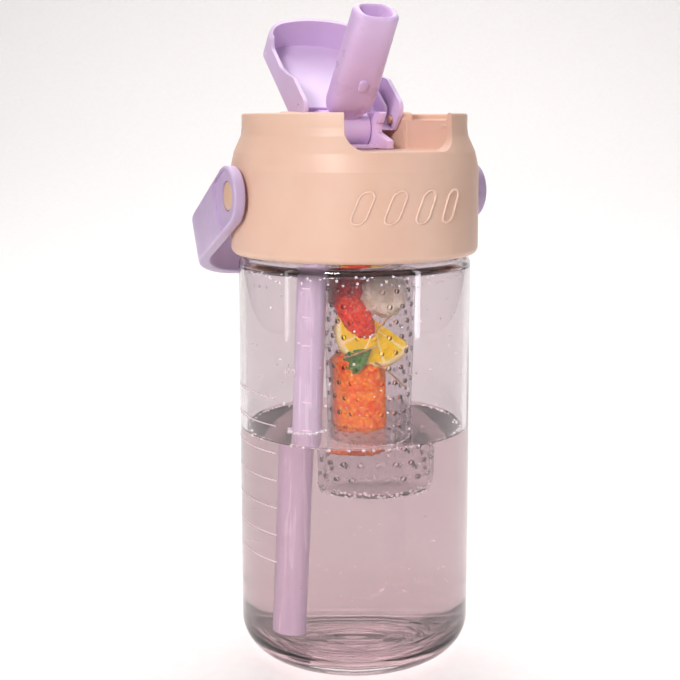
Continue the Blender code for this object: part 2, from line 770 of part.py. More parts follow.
def cover():
    """Flip cover, drawn closed round its hinge and then opened."""
    quarter = HALF_TURN * HALF
    rings = []
    for step in range(EDGE_STEPS + 1):
        turn = quarter * step / EDGE_STEPS
        inset = COVER_EDGE_ROUND * (1 - math.sin(turn))
        down = COVER_EDGE_ROUND * (1 - math.cos(turn))
        rings.append([(x, y, COVER_RISE - down) for x, y in cover_plan(inset, COVER_REAR)])
    rings.append([(x, y, COVER_RISE - COVER_DEPTH) for x, y in cover_plan(0, COVER_REAR)])
    made = lofted("cover", rings, lilac_plastic("lilac_cover"))
    beyond = COVER_LENGTH + OVERRUN
    skirt_low = COVER_RISE - SKIRT_DEPTH
    side = [(-COVER_REAR, COVER_RISE, EAR_TOP_ROUND), (-beyond, COVER_RISE, 0), (-beyond, skirt_low, 0)]
    side += [(back - COVER_LENGTH, COVER_RISE - down, radius) for back, down, radius in COVER_SIDE_FRONT]
    side += [(-along, COVER_RISE - down, radius) for along, down, radius in COVER_SIDE_REAR]
    outer = COVER_HALF + OVERRUN
    profile = prism("cover_profile", filleted(side), "X", -outer, outer)
    combine(made, [profile], "INTERSECT")
    inner = COVER_HALF - COVER_WALL
    low = COVER_RISE - COVER_DEPTH - OVERRUN
    ceiling = COVER_RISE - COVER_TOP_WALL
    cavity = prism("cover_cavity", cover_plan(COVER_WALL, COVER_REAR - OVERRUN), "Z", low, ceiling)
    corner_cutters = []
    for index, way in enumerate(SIDES):
        edge = way * (COVER_HALF + OVERRUN)
        start = way * (COVER_HALF - SKIRT_CORNER)
        bottom = COVER_RISE - COVER_DEPTH
        steps = max(2, math.ceil(quarter / ARC_TURN))
        outline = [(edge, bottom - OVERRUN), (start, bottom - OVERRUN), (start, skirt_low)]
        for step in range(1, steps + 1):
            turn = quarter * step / steps
            across = start + way * SKIRT_CORNER * math.sin(turn)
            outline.append((across, skirt_low + SKIRT_CORNER * (1 - math.cos(turn))))
        outline.append((edge, skirt_low + SKIRT_CORNER))
        front = -(COVER_LENGTH + OVERRUN)
        corner_cutters.append(prism(f"skirt_corner_{index}", outline, "Y", front, -SKIRT_FROM))
    notch = filleted(
        [
            (-NOTCH_HALF, -COVER_REAR + OVERRUN, 0),
            (NOTCH_HALF, -COVER_REAR + OVERRUN, 0),
            (NOTCH_HALF, -NOTCH_LENGTH, NOTCH_ROUND),
            (-NOTCH_HALF, -NOTCH_LENGTH, NOTCH_ROUND),
        ]
    )
    cutters = [cavity, prism("cover_notch", notch, "Z", low, COVER_RISE + OVERRUN), *corner_cutters]
    combine(made, cutters, "DIFFERENCE")
    added = []
    for index, way in enumerate(SIDES):
        rib = filleted(
            [
                (-INNER_RIB_START, ceiling + COVER_TOP_WALL * HALF, 0),
                (-INNER_RIB_START, COVER_RISE - INNER_RIB_DEPTH, INNER_RIB_ROUND * HALF),
                (-INNER_RIB_END, COVER_RISE - INNER_RIB_DEPTH, INNER_RIB_ROUND),
                (-INNER_RIB_END, ceiling + COVER_TOP_WALL * HALF, 0),
            ]
        )
        ends = sorted((way * INNER_RIB_AT, way * (INNER_RIB_AT + INNER_RIB_WALL)))
        added.append(prism(f"cover_rib_{index}", rib, "X", *ends))
        nub_z = COVER_RISE - SIDE_NUB_DOWN
        ends = sorted((way * (inner + COVER_WALL * HALF), way * (COVER_HALF + SIDE_NUB_RISE)))
        added.append(x_rod(f"cover_nub_{index}", SIDE_NUB_RADIUS, *ends, y=-SIDE_NUB_AT, z=nub_z))
    combine(made, added, "UNION")
    holes = []
    for index, way in enumerate(SIDES):
        ends = sorted((way * (inner - OVERRUN * HALF), way * outer))
        holes.append(x_rod(f"ear_hole_{index}", COVER_PIN_HOLE, *ends))
        ends = sorted((way * (COVER_HALF - DIMPLE_DEPTH), way * outer))
        dimple_z = COVER_RISE - DIMPLE_DOWN
        holes.append(x_rod(f"ear_dimple_{index}", DIMPLE_RADIUS, *ends, y=-DIMPLE_AT, z=dimple_z))
    combine(made, holes, "DIFFERENCE")
    parts = [made, profile, *cutters, *added, *holes]
    place(parts, (0, HINGE_Y, HINGE_Z), -COVER_OPEN)
    return made


def oval_ring(along, half, depth, offset):
    """A rounded oval across the spout's tube."""
    points = []
    power = 2 / SPOUT_SQUARENESS
    for step in range(SPOUT_RING_STEPS):
        turn = FULL_TURN * step / SPOUT_RING_STEPS
        across = math.copysign(abs(math.cos(turn)) ** power, math.cos(turn))
        down = math.copysign(abs(math.sin(turn)) ** power, math.sin(turn))
        points.append((half * across, -along, -offset + depth * down))
    return points


def spout():
    """Drinking spout with its drum and axles, drawn folded forward round its pivot and then raised."""
    rings = [oval_ring(SPOUT_ROOT_START, SPOUT_ROOT_HALF, SPOUT_ROOT_DEPTH, 0)]
    first = SPOUT_SECTIONS[0][0]
    last = SPOUT_SECTIONS[-1][0]
    for along, half, depth in SPOUT_SECTIONS:
        offset = SPOUT_OFFSET * (along - first) / (last - first)
        rings.append(oval_ring(along, half, depth, offset))
    straight = SPOUT_LENGTH - LIP_ROUND
    quarter = HALF_TURN * HALF
    for step in range(EDGE_STEPS + 1):
        turn = quarter * step / EDGE_STEPS
        inset = LIP_ROUND * (1 - math.cos(turn))
        along = straight + LIP_ROUND * math.sin(turn)
        rings.append(oval_ring(along, MOUTH_HALF - inset, MOUTH_DEPTH - inset, SPOUT_OFFSET))
    made = lofted("spout", rings, lilac_plastic("lilac_spout"))
    drum = x_rod("spout_drum", DRUM_RADIUS, -DRUM_HALF, DRUM_HALF, steps=RING_STEPS)
    axle = x_rod("spout_axle", AXLE_RADIUS, -AXLE_HALF, AXLE_HALF)
    nub_half = SPOUT_NUB_LENGTH * HALF
    nub_corner = SPOUT_NUB_HALF * (1 - HALF * HALF)
    nub = prism(
        "spout_nub",
        filleted(
            [
                (-SPOUT_NUB_HALF, -SPOUT_NUB_AT - nub_half, nub_corner),
                (SPOUT_NUB_HALF, -SPOUT_NUB_AT - nub_half, nub_corner),
                (SPOUT_NUB_HALF, -SPOUT_NUB_AT + nub_half, nub_corner),
                (-SPOUT_NUB_HALF, -SPOUT_NUB_AT + nub_half, nub_corner),
            ]
        ),
        "Z",
        -(SPOUT_FRONT_FACE + SPOUT_NUB_RISE),
        -(SPOUT_FRONT_FACE - SPOUT_NUB_RISE),
    )
    joined = [drum, axle, nub]
    combine(made, joined, "UNION")
    bore_rings = [
        oval_ring(-DRUM_BORE * HALF, BORE_NECK_HALF, BORE_NECK_DEPTH, 0),
        oval_ring(BORE_NECK_END, BORE_NECK_HALF, BORE_NECK_DEPTH, 0),
        oval_ring(BORE_WIDE_START, SPOUT_BORE_HALF, SPOUT_BORE_DEPTH, SPOUT_OFFSET),
        oval_ring(SPOUT_LENGTH + OVERRUN, SPOUT_BORE_HALF, SPOUT_BORE_DEPTH, SPOUT_OFFSET),
    ]
    bore = lofted("spout_bore", bore_rings)
    feed = prism("drum_feed", circle(DRUM_BORE, SMALL_STEPS), "Z", -(DRUM_RADIUS + OVERRUN), 0)
    combine(made, [bore, feed], "DIFFERENCE")
    pivot = (0, PIVOT_Y, PIVOT_Z)
    place([made, *joined, bore], pivot, -SPOUT_RAISED)
    place([feed], pivot)
    return made


def spout_seat():
    """Block with two cheeks that carries the spout, a low saddle in front and the bore for the seal."""
    plate = rectangle(-SEAT_HALF, SEAT_HALF, SEAT_FRONT, SEAT_REAR)
    made = prism("spout_seat", plate, "Z", SEAT_BOTTOM, SEAT_TOP, lilac_plastic("lilac_seat"), smooth=False)
    cheek = [(PIVOT_Y - ahead, PIVOT_Z + up, radius) for ahead, up, radius in CHEEK_CURVE]
    cheek += [
        (PIVOT_Y - CHEEK_AHEAD, SADDLE_BOTTOM, CHEEK_TAIL_ROUND),
        (PIVOT_Y - CHEEK_TAIL_AHEAD, SADDLE_BOTTOM, 0),
        (PIVOT_Y - CHEEK_TAIL_AHEAD, SEAT_BOTTOM + CHEEK_ROOT, 0),
        (PIVOT_Y + CHEEK_BEHIND, SEAT_BOTTOM + CHEEK_ROOT, 0),
    ]
    cheeks = []
    for index, side in enumerate(SIDES):
        ends = sorted((side * SEAT_CHEEK_INNER, side * SEAT_HALF))
        cheeks.append(prism(f"cheek_{index}", filleted(cheek), "X", *ends))
    reach = SEAT_CHEEK_INNER + SADDLE_OVERLAP
    edges = (SADDLE_FRONT, SADDLE_REAR, SADDLE_BOTTOM, SADDLE_TOP)
    cheeks.append(prism("saddle", rectangle(*edges), "X", -reach, reach))
    combine(made, cheeks, "UNION")
    axis = (0, PIVOT_Y)
    low = SEAT_BOTTOM - OVERRUN
    high = SEAT_TOP + OVERRUN
    beyond = SEAT_HALF + OVERRUN
    bores = [
        prism("seat_bore", circle(SEAT_BORE, SMALL_STEPS, axis), "Z", low, high),
        prism("seal_bore", circle(SEAL_BORE, SMALL_STEPS, axis), "Z", SEAL_BORE_FLOOR, high),
        x_rod("axle_bore", AXLE_RADIUS + RUNNING_GAP, -beyond, beyond, PIVOT_Y, PIVOT_Z),
    ]
    combine(made, bores, "DIFFERENCE")
    return made


def ring_outline(inner, outer, low, high, rounding):
    """Cross-section of a ring with rounded edges."""
    return filleted(
        [
            (inner, low, rounding),
            (outer, low, rounding),
            (outer, high, rounding),
            (inner, high, rounding),
        ]
    )


def spout_seal():
    """Soft ring under the drum of the spout."""
    outline = ring_outline(
        SPOUT_SEAL_INNER, SPOUT_SEAL_OUTER, SPOUT_SEAL_BOTTOM, SPOUT_SEAL_TOP, SPOUT_SEAL_ROUND
    )
    made = revolved("spout_seal", outline, SMALL_STEPS, silicone("silicone_spout"), (0, PIVOT_Y))
    clearance = x_rod(
        "drum_clearance", DRUM_RADIUS + GAP, -DRUM_HALF, DRUM_HALF, PIVOT_Y, PIVOT_Z, steps=RING_STEPS
    )
    combine(made, [clearance], "DIFFERENCE")
    return made


def stadium(start, end, half):
    """Outline with round ends about two points."""
    way = math.atan2(end[1] - start[1], end[0] - start[0])
    quarter = HALF_TURN * HALF
    steps = math.ceil(HALF_TURN / ARC_TURN)
    outline = []
    for centre, first in ((end, way - quarter), (start, way + quarter)):
        for step in range(steps + 1):
            turn = first + HALF_TURN * step / steps
            outline.append((centre[0] + half * math.cos(turn), centre[1] + half * math.sin(turn)))
    return outline


def flow_duct():
    """Flat hollow duct with one hole down to the straw's socket and one up to the spout's seat."""
    start = (STRAW_X, STRAW_Y)
    end = (0, PIVOT_Y)
    paint = inner_plastic("duct")
    made = prism("flow_duct", stadium(start, end, DUCT_HALF), "Z", DUCT_BOTTOM, DUCT_TOP, paint)
    inner = stadium(start, end, DUCT_HALF - DUCT_WALL)
    low, high = DUCT_BOTTOM + DUCT_WALL, DUCT_TOP - DUCT_WALL
    cutters = [
        prism("duct_hollow", inner, "Z", low, high),
        prism("duct_inlet", circle(DUCT_HOLE, SMALL_STEPS, start), "Z", DUCT_BOTTOM - OVERRUN, low + OVERRUN),
        prism("duct_outlet", circle(DUCT_HOLE, SMALL_STEPS, end), "Z", high - OVERRUN, DUCT_TOP + OVERRUN),
    ]
    combine(made, cutters, "DIFFERENCE")
    return made


def lid_liner():
    """Inner cap that screws onto the neck, with the holes for the straw's socket and the vent."""
    outline = filleted(
        [
            (0, LINER_DISC_BOTTOM, 0),
            (LINER_INNER, LINER_DISC_BOTTOM, LINER_ROUND),
            (LINER_INNER, LINER_BOTTOM, LINER_ROUND),
            (LINER_OUTER, LINER_BOTTOM, LINER_ROUND),
            (LINER_OUTER, LINER_TOP, LINER_ROUND),
            (0, LINER_TOP, 0),
        ]
    )
    made = revolved("lid_liner", outline, BAND_STEPS, inner_plastic("liner_plastic"))
    low, high = LINER_DISC_BOTTOM - OVERRUN, LINER_TOP + OVERRUN
    shift = STRAW_LEAN_SHARE * (LINER_TOP - STRAW_TOP)
    straw_hole = circle(SOCKET_RADIUS + RUNNING_GAP, SMALL_STEPS, (STRAW_X + shift, STRAW_Y))
    cutters = [
        prism("straw_hole", straw_hole, "Z", low, high),
        prism("vent_hole", circle(VENT_RADIUS, SMALL_STEPS, (VENT_X, VENT_Y)), "Z", low, high),
    ]
    combine(made, cutters, "DIFFERENCE")
    return made


def lid_seal():
    """Soft ring between the mouth of the bottle and the inner cap."""
    outline = ring_outline(SEAL_INNER, SEAL_OUTER, SEAL_BOTTOM, SEAL_TOP, SEAL_ROUND)
    return revolved("lid_seal", outline, BAND_STEPS, silicone("silicone_lid"))


def straw_socket():
    """Socket under the lid that grips the straw and rests on the inner cap with a lip."""
    outline = filleted(
        [
            (SOCKET_BORE, SOCKET_BOTTOM, SOCKET_ROUND),
            (SOCKET_RADIUS, SOCKET_BOTTOM, SOCKET_ROUND),
            (SOCKET_RADIUS, SOCKET_LIP_BOTTOM, 0),
            (SOCKET_LIP, SOCKET_LIP_BOTTOM, 0),
            (SOCKET_LIP, SOCKET_TOP, SOCKET_ROUND),
            (SOCKET_THROAT, SOCKET_TOP, SOCKET_ROUND),
            (SOCKET_THROAT, SOCKET_STEP, 0),
            (SOCKET_BORE, SOCKET_STEP, 0),
        ]
    )
    paint = inner_plastic("socket_plastic")
    centre = (STRAW_X, STRAW_Y)
    return revolved("straw_socket", outline, SMALL_STEPS, paint, centre, STRAW_LEAN_SHARE, STRAW_TOP)


def straw():
    """Straw that leans outward to just above the base."""
    inner = STRAW_RADIUS - STRAW_WALL
    outline = ring_outline(inner, STRAW_RADIUS, STRAW_BOTTOM, STRAW_TOP, STRAW_END_ROUND)
    centre = (STRAW_X, STRAW_Y)
    return revolved("straw", outline, SMALL_STEPS, straw_plastic(), centre, STRAW_LEAN_SHARE, STRAW_TOP)


def infuser_collar():
    """Ring under the inner cap that the infuser hangs on."""
    outline = ring_outline(COLLAR_INNER, COLLAR_OUTER, COLLAR_BOTTOM, COLLAR_TOP, COLLAR_ROUND)
    centre = (INFUSER_X, INFUSER_Y)
    return revolved("infuser_collar", outline, RING_STEPS, inner_plastic("collar_plastic"), centre)


def wall_holes():
    """Rows of small six-sided holes straight through the wall of the cup, each row turned half a step."""
    points = []
    faces = []
    inner = CUP_BOTTOM_RADIUS - CUP_WALL - OVERRUN
    outer = CUP_TOP_RADIUS + OVERRUN
    for row in range(CUP_HOLE_ROWS):
        height = CUP_HOLE_FIRST + row * CUP_HOLE_PITCH
        for column in range(CUP_HOLE_COLUMNS):
            turn = FULL_TURN * (column + HALF * (row % 2)) / CUP_HOLE_COLUMNS
            start = len(points)
            for radius in (inner, outer):
                for across, up in circle(CUP_HOLE_RADIUS, CUP_HOLE_SIDES):
                    x = INFUSER_X + radius * math.cos(turn) - across * math.sin(turn)
                    y = INFUSER_Y + radius * math.sin(turn) + across * math.cos(turn)
                    points.append((x, y, height + up))
            low = [start + side for side in range(CUP_HOLE_SIDES)]
            high = [start + CUP_HOLE_SIDES + side for side in range(CUP_HOLE_SIDES)]
            faces += [low, high]
            for side in range(CUP_HOLE_SIDES):
                other = (side + 1) % CUP_HOLE_SIDES
                faces.append([low[side], low[other], high[other], high[side]])
    return solid("wall_holes", points, faces)


def floor_holes():
    """Rings of small holes through the floor of the cup."""
    points = []
    faces = []
    for ring, count in CUP_FLOOR_RINGS:
        for centre in circle(ring, count, (INFUSER_X, INFUSER_Y)):
            start = len(points)
            for height in (CUP_BOTTOM - OVERRUN, CUP_BOTTOM + CUP_FLOOR + OVERRUN):
                points += [(x, y, height) for x, y in circle(CUP_HOLE_RADIUS, CUP_HOLE_SIDES, centre)]
            low = [start + side for side in range(CUP_HOLE_SIDES)]
            high = [start + CUP_HOLE_SIDES + side for side in range(CUP_HOLE_SIDES)]
            faces += [low, high]
            for side in range(CUP_HOLE_SIDES):
                other = (side + 1) % CUP_HOLE_SIDES
                faces.append([low[side], low[other], high[other], high[side]])
    return solid("floor_holes", points, faces)


def infuser_cup():
    """Tapered perforated cup that hangs in the bottle."""
    floor = CUP_BOTTOM + CUP_FLOOR
    outline = filleted(
        [
            (0, CUP_BOTTOM, 0),
            (CUP_BOTTOM_RADIUS, CUP_BOTTOM, CUP_FOOT_ROUND),
            (CUP_TOP_RADIUS, CUP_TOP, CUP_EDGE_ROUND),
            (CUP_TOP_RADIUS - CUP_WALL, CUP_TOP, CUP_EDGE_ROUND),
            (CUP_BOTTOM_RADIUS - CUP_WALL, floor, CUP_FOOT_ROUND * HALF),
            (0, floor, 0),
        ]
    )
    made = revolved("infuser_cup", outline, RING_STEPS, clear_cup(), (INFUSER_X, INFUSER_Y))
    combine(made, [wall_holes(), floor_holes()], "DIFFERENCE")
    return made


def handle_plan():
    """The handle seen from above with its arms level: two arms joined by a strap with wide round corners."""
    reach_inner = STRAP_REACH - STRAP_WALL
    arm = HANDLE_OUTER - HANDLE_INNER
    return filleted(
        [
            (HANDLE_INNER, -BOSS_RADIUS - OVERRUN, 0),
            (HANDLE_OUTER, -BOSS_RADIUS - OVERRUN, 0),
            (HANDLE_OUTER, STRAP_REACH, STRAP_CORNER),
            (-HANDLE_OUTER, STRAP_REACH, STRAP_CORNER),
            (-HANDLE_OUTER, -BOSS_RADIUS - OVERRUN, 0),
            (-HANDLE_INNER, -BOSS_RADIUS - OVERRUN, 0),
            (-HANDLE_INNER, reach_inner, STRAP_CORNER - arm),
            (HANDLE_INNER, reach_inner, STRAP_CORNER - arm),
        ]
    )


def handle_side():
    """The handle seen from the side: a round boss that tapers to the strap."""
    far = STRAP_REACH + OVERRUN
    lean = math.asin((BOSS_RADIUS - STRAP_HALF) / far)
    quarter = HALF_TURN * HALF
    first = quarter - lean
    steps = math.ceil(2 * (HALF_TURN - first) / ARC_TURN)
    outline = [(far, -STRAP_HALF), (far, STRAP_HALF)]
    for step in range(steps + 1):
        turn = first + 2 * (HALF_TURN - first) * step / steps
        outline.append((BOSS_RADIUS * math.cos(turn), BOSS_RADIUS * math.sin(turn)))
    return outline


def handle():
    """Bail handle, drawn level round its pivot and then let down behind the bottle."""
    made = prism("handle", handle_plan(), "Z", -BOSS_RADIUS, BOSS_RADIUS, lilac_plastic("lilac_handle"))
    outer = HANDLE_OUTER + OVERRUN
    side = prism("handle_side", handle_side(), "X", -outer, outer)
    combine(made, [side], "INTERSECT")
    cutters = []
    for index, way in enumerate(SIDES):
        spans = (
            ("recess", BOSS_RECESS_RADIUS, HANDLE_OUTER - BOSS_RECESS_DEPTH),
            ("cap_hole", PIN_CAP_HOLE, PIN_CAP_FLOOR),
            ("pin_hole", PIN_HOLE, HANDLE_INNER - OVERRUN),
        )
        for label, radius, start in spans:
            ends = sorted((way * start, way * outer))
            cutters.append(x_rod(f"handle_{label}_{index}", radius, *ends, steps=RING_STEPS))
    combine(made, cutters, "DIFFERENCE")
    place([made, side, *cutters], (0, 0, HANDLE_Z), -HANDLE_HANG)
    return made


def x_turned(name, outline, way, paint, origin):
    """A closed outline of distance and radius turned round a line along X, on one side of the bottle."""
    points = []
    rows = []
    for along, radius in outline:
        if radius <= MERGE:
            points.append((way * along, 0, 0))
            rows.append([len(points) - 1] * SMALL_STEPS)
            continue
        rows.append([len(points) + step for step in range(SMALL_STEPS)])
        points += [(way * along, a, b) for a, b in circle(radius, SMALL_STEPS)]
    faces = []
    for index, row in enumerate(rows):
        following = rows[(index + 1) % len(rows)]
        for step in range(SMALL_STEPS):
            other = (step + 1) % SMALL_STEPS
            corners = list(dict.fromkeys([row[step], row[other], following[other], following[step]]))
            if len(corners) > 2:
                faces.append(corners)
    made = solid(name, points, faces, paint)
    place([made], origin)
    return made


def handle_pins():
    """Pins with a flat cap that join the handle to the lid."""
    outline = filleted(
        [
            (PIN_INNER, 0, 0),
            (PIN_INNER, PIN_SHAFT, PIN_CAP_ROUND),
            (PIN_CAP_INNER, PIN_SHAFT, 0),
            (PIN_CAP_INNER, PIN_CAP, 0),
            (PIN_CAP_OUTER, PIN_CAP, PIN_CAP_ROUND),
            (PIN_CAP_OUTER, 0, 0),
        ]
    )
    for way, label in zip(SIDES, ("left", "right")):
        x_turned(f"handle_pin_{label}", outline, way, peach_plastic(f"peach_pin_{label}"), (0, 0, HANDLE_Z))


def cover_pins():
    """Short pins that the cover swings on."""
    outline = [
        (COVER_PIN_INNER, 0),
        (COVER_PIN_INNER, COVER_PIN_RADIUS),
        (COVER_PIN_OUTER, COVER_PIN_RADIUS),
        (COVER_PIN_OUTER, 0),
    ]
    for way, label in zip(SIDES, ("left", "right")):
        paint = lilac_plastic(f"lilac_pin_{label}")
        x_turned(f"cover_pin_{label}", outline, way, paint, (0, HINGE_Y, HINGE_Z))


def main():
    clear_scene()
    bottle_body()
    lid_shell()
    lid_liner()
    lid_seal()
    spout_seat()
    spout_seal()
    flow_duct()
    straw_socket()
    straw()
    infuser_collar()
    infuser_cup()
    cover()
    cover_pins()
    spout()
    handle()
    handle_pins()


main()
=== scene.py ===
"""Look of a tea infuser bottle: clear body, peach lid, lilac cover, spout and handle, straw, cup and its fruit."""

from __future__ import annotations

import logging
import math
from collections.abc import Iterable, Sequence
from dataclasses import dataclass, field
from enum import Enum

import bmesh
import bpy
from mathutils import Matrix, Vector
from mathutils import noise as mathutils_noise

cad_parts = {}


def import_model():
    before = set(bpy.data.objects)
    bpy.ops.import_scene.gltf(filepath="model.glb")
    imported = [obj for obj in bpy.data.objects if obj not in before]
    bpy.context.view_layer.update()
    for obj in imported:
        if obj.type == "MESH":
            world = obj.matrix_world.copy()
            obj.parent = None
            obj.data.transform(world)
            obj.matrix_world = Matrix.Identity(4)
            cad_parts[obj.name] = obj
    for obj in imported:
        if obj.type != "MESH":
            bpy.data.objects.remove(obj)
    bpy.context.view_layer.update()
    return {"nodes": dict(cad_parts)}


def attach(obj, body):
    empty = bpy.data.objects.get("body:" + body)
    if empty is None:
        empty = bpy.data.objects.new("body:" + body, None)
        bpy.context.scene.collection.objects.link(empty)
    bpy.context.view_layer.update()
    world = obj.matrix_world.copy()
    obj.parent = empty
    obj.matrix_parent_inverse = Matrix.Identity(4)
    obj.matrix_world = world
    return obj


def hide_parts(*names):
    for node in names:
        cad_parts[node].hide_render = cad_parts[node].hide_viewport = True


LOG = logging.getLogger("bottle")
MM = 0.001
TURN = 2 * math.pi
SMOOTH = math.radians(35)
PLASTIC_IOR = 1.49
WATER_IOR = 1.333
WELD = 0.0005 * MM
ON_AXIS = 1e-7
ROD_STEPS = 64
BORE_STEPS = 48

# Places and sizes that more than one piece needs.
VIEW_AZIMUTH = -25.0
COVER_HINGE = (6.95 * MM, 194.15 * MM)
SPOUT_PIVOT = (12.3 * MM, 190.9 * MM)
HANDLE_AXIS = 168 * MM
COVER_PIN_BORE = 1.7 * MM
HANDLE_PIN_BORE = 3.5 * MM

Point2 = tuple[float, float]
Point3 = tuple[float, float, float]
Corner = tuple[float, float, float]
Piece = bpy.types.Object
Material = bpy.types.Material
Tree = bpy.types.NodeTree
Node = bpy.types.Node
Socket = bpy.types.NodeSocket


class Body(Enum):
    """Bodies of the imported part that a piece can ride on."""

    BOTTLE = "bottle"
    LID = "lid"
    COVER = "cover"
    SPOUT = "spout"
    HANDLE = "handle"
    INFUSER = "infuser"


class Axis(Enum):
    """Direction that a flat outline is drawn out along."""

    X = "X"
    Y = "Y"
    Z = "Z"

    def point(self, a: float, b: float, run: float) -> Point3:
        """Return the point whose outline place is (a, b) at this run along the axis."""
        return {"X": (run, a, b), "Y": (a, run, b), "Z": (a, b, run)}[self.value]


class Cut(Enum):
    """Ways of combining two closed bodies."""

    AWAY = "DIFFERENCE"
    JOIN = "UNION"
    SHARED = "INTERSECT"


# Colour and node helpers.


def linear(hex_colour: str) -> tuple[float, float, float, float]:
    """Turn an sRGB hex value into linear colour.

    Args:
        hex_colour: Six hex digits, with or without a leading hash.

    Returns:
        Linear red, green, blue and an alpha of 1.
    """
    digits = hex_colour.lstrip("#")
    out = []
    for start in (0, 2, 4):
        value = int(digits[start : start + 2], 16) / 255
        out.append(value / 12.92 if value <= 0.04045 else ((value + 0.055) / 1.055) ** 2.4)
    return (out[0], out[1], out[2], 1.0)


def add_node(tree: Tree, kind: str, values: dict | None = None, **links: object) -> Node:
    """Add a node with its settings and links.

    Args:
        tree: Tree that gets the node.
        kind: Blender's name of the node type.
        values: Attribute names, or input names and numbers, with what each is set to.
        links: Input names, with spaces as underscores, and the output sockets that feed them.

    Returns:
        The new node.
    """
    made = tree.nodes.new(kind)
    for name, value in (values or {}).items():
        if isinstance(name, str) and name in made.bl_rna.properties:
            setattr(made, name, value)
        else:
            made.inputs[name].default_value = value
    for name, socket in links.items():
        key = int(name[1:]) if name[0] == "i" and name[1:].isdigit() else name.replace("_", " ")
        tree.links.new(socket, made.inputs[key])
    return made


def feed(tree: Tree, node: Node, values: dict[str, object]) -> None:
    """Set or link the named inputs of a node.

    Args:
        tree: Tree that the node is in.
        node: The node.
        values: Input names, each with a constant or with the output socket that feeds it.
    """
    for name, value in values.items():
        if isinstance(value, Socket):
            tree.links.new(value, node.inputs[name])
        else:
            node.inputs[name].default_value = value


def reckon(tree: Tree, way: str, a: object, b: object = 0.0) -> Socket:
    """Do one piece of arithmetic on sockets or numbers.

    Args:
        tree: Tree that the arithmetic is added to.
        way: Blender's name of the operation.
        a: First socket or number.
        b: Second socket or number, for operations that take two.

    Returns:
        The socket that holds the result.
    """
    links = {f"i{index}": side for index, side in enumerate((a, b)) if isinstance(side, Socket)}
    numbers = {index: side for index, side in enumerate((a, b)) if not isinstance(side, Socket)}
    return add_node(tree, "ShaderNodeMath", {"operation": way, **numbers}, **links).outputs[0]


def new_material(name: str) -> tuple[Material, Tree, Node]:
    """Make a node material.

    Args:
        name: Its name.

    Returns:
        The material, its tree and its Principled shader.
    """
    made = bpy.data.materials.new(name)
    made.use_nodes = True
    tree = made.node_tree
    return made, tree, tree.nodes["Principled BSDF"]


def object_place(tree: Tree) -> Socket:
    """Return the Object coordinates of a material's tree."""
    return add_node(tree, "ShaderNodeTexCoord").outputs["Object"]


def noise(tree: Tree, place: Socket, size: float, detail: float) -> Socket:
    """Add noise whose lumps are about the given size in metres."""
    return add_node(tree, "ShaderNodeTexNoise", {"Scale": 1 / size, "Detail": detail}, Vector=place).outputs[0]


def spread(tree: Tree, value: Socket, low: float, high: float, start: float = 0.3, end: float = 0.7) -> Socket:
    """Map a value between start and end to the range from low to high."""
    settings = {"From Min": start, "From Max": end, "To Min": low, "To Max": high}
    return add_node(tree, "ShaderNodeMapRange", settings, Value=value).outputs["Result"]


def mix(tree: Tree, factor: Socket, low: str | Socket, high: str) -> Socket:
    """Mix two colours.

    Args:
        tree: Tree that the mixing is added to.
        factor: 0 gives the first colour and 1 the second.
        low: First colour, as a hex value or a socket.
        high: Second colour, as a hex value.

    Returns:
        The socket that holds the mixed colour.
    """
    values = {"data_type": "RGBA", 7: linear(high)}
    if isinstance(low, str):
        return add_node(tree, "ShaderNodeMix", {**values, 6: linear(low)}, i0=factor).outputs[2]
    return add_node(tree, "ShaderNodeMix", values, i0=factor, i6=low).outputs[2]


def drifting(tree: Tree, value: Socket, low: str, high: str) -> Socket:
    """Let a noise value drift between two colours."""
    return mix(tree, spread(tree, value, 0, 1), low, high)


def bump(tree: Tree, height: Socket, depth: float, strength: float) -> Socket:
    """Return a normal raised by the height, with its depth in metres."""
    return add_node(tree, "ShaderNodeBump", {"Strength": strength, "Distance": depth}, Height=height).outputs[0]


def let_lamps_in(tree: Tree, shader: Node, colour: str) -> None:
    """Let lamps shine through a clear wall, so that what it holds is lit.

    Args:
        tree: Tree of the wall's material.
        shader: What everything but the lamps sees.
        colour: Tint of the light that comes through.
    """
    ray = add_node(tree, "ShaderNodeLightPath").outputs["Is Shadow Ray"]
    pane = add_node(tree, "ShaderNodeBsdfTransparent", {"Color": linear(colour)})
    mixed = add_node(tree, "ShaderNodeMixShader", None, Fac=ray, i1=shader.outputs[0], i2=pane.outputs[0])
    tree.links.new(mixed.outputs[0], tree.nodes["Material Output"].inputs["Surface"])


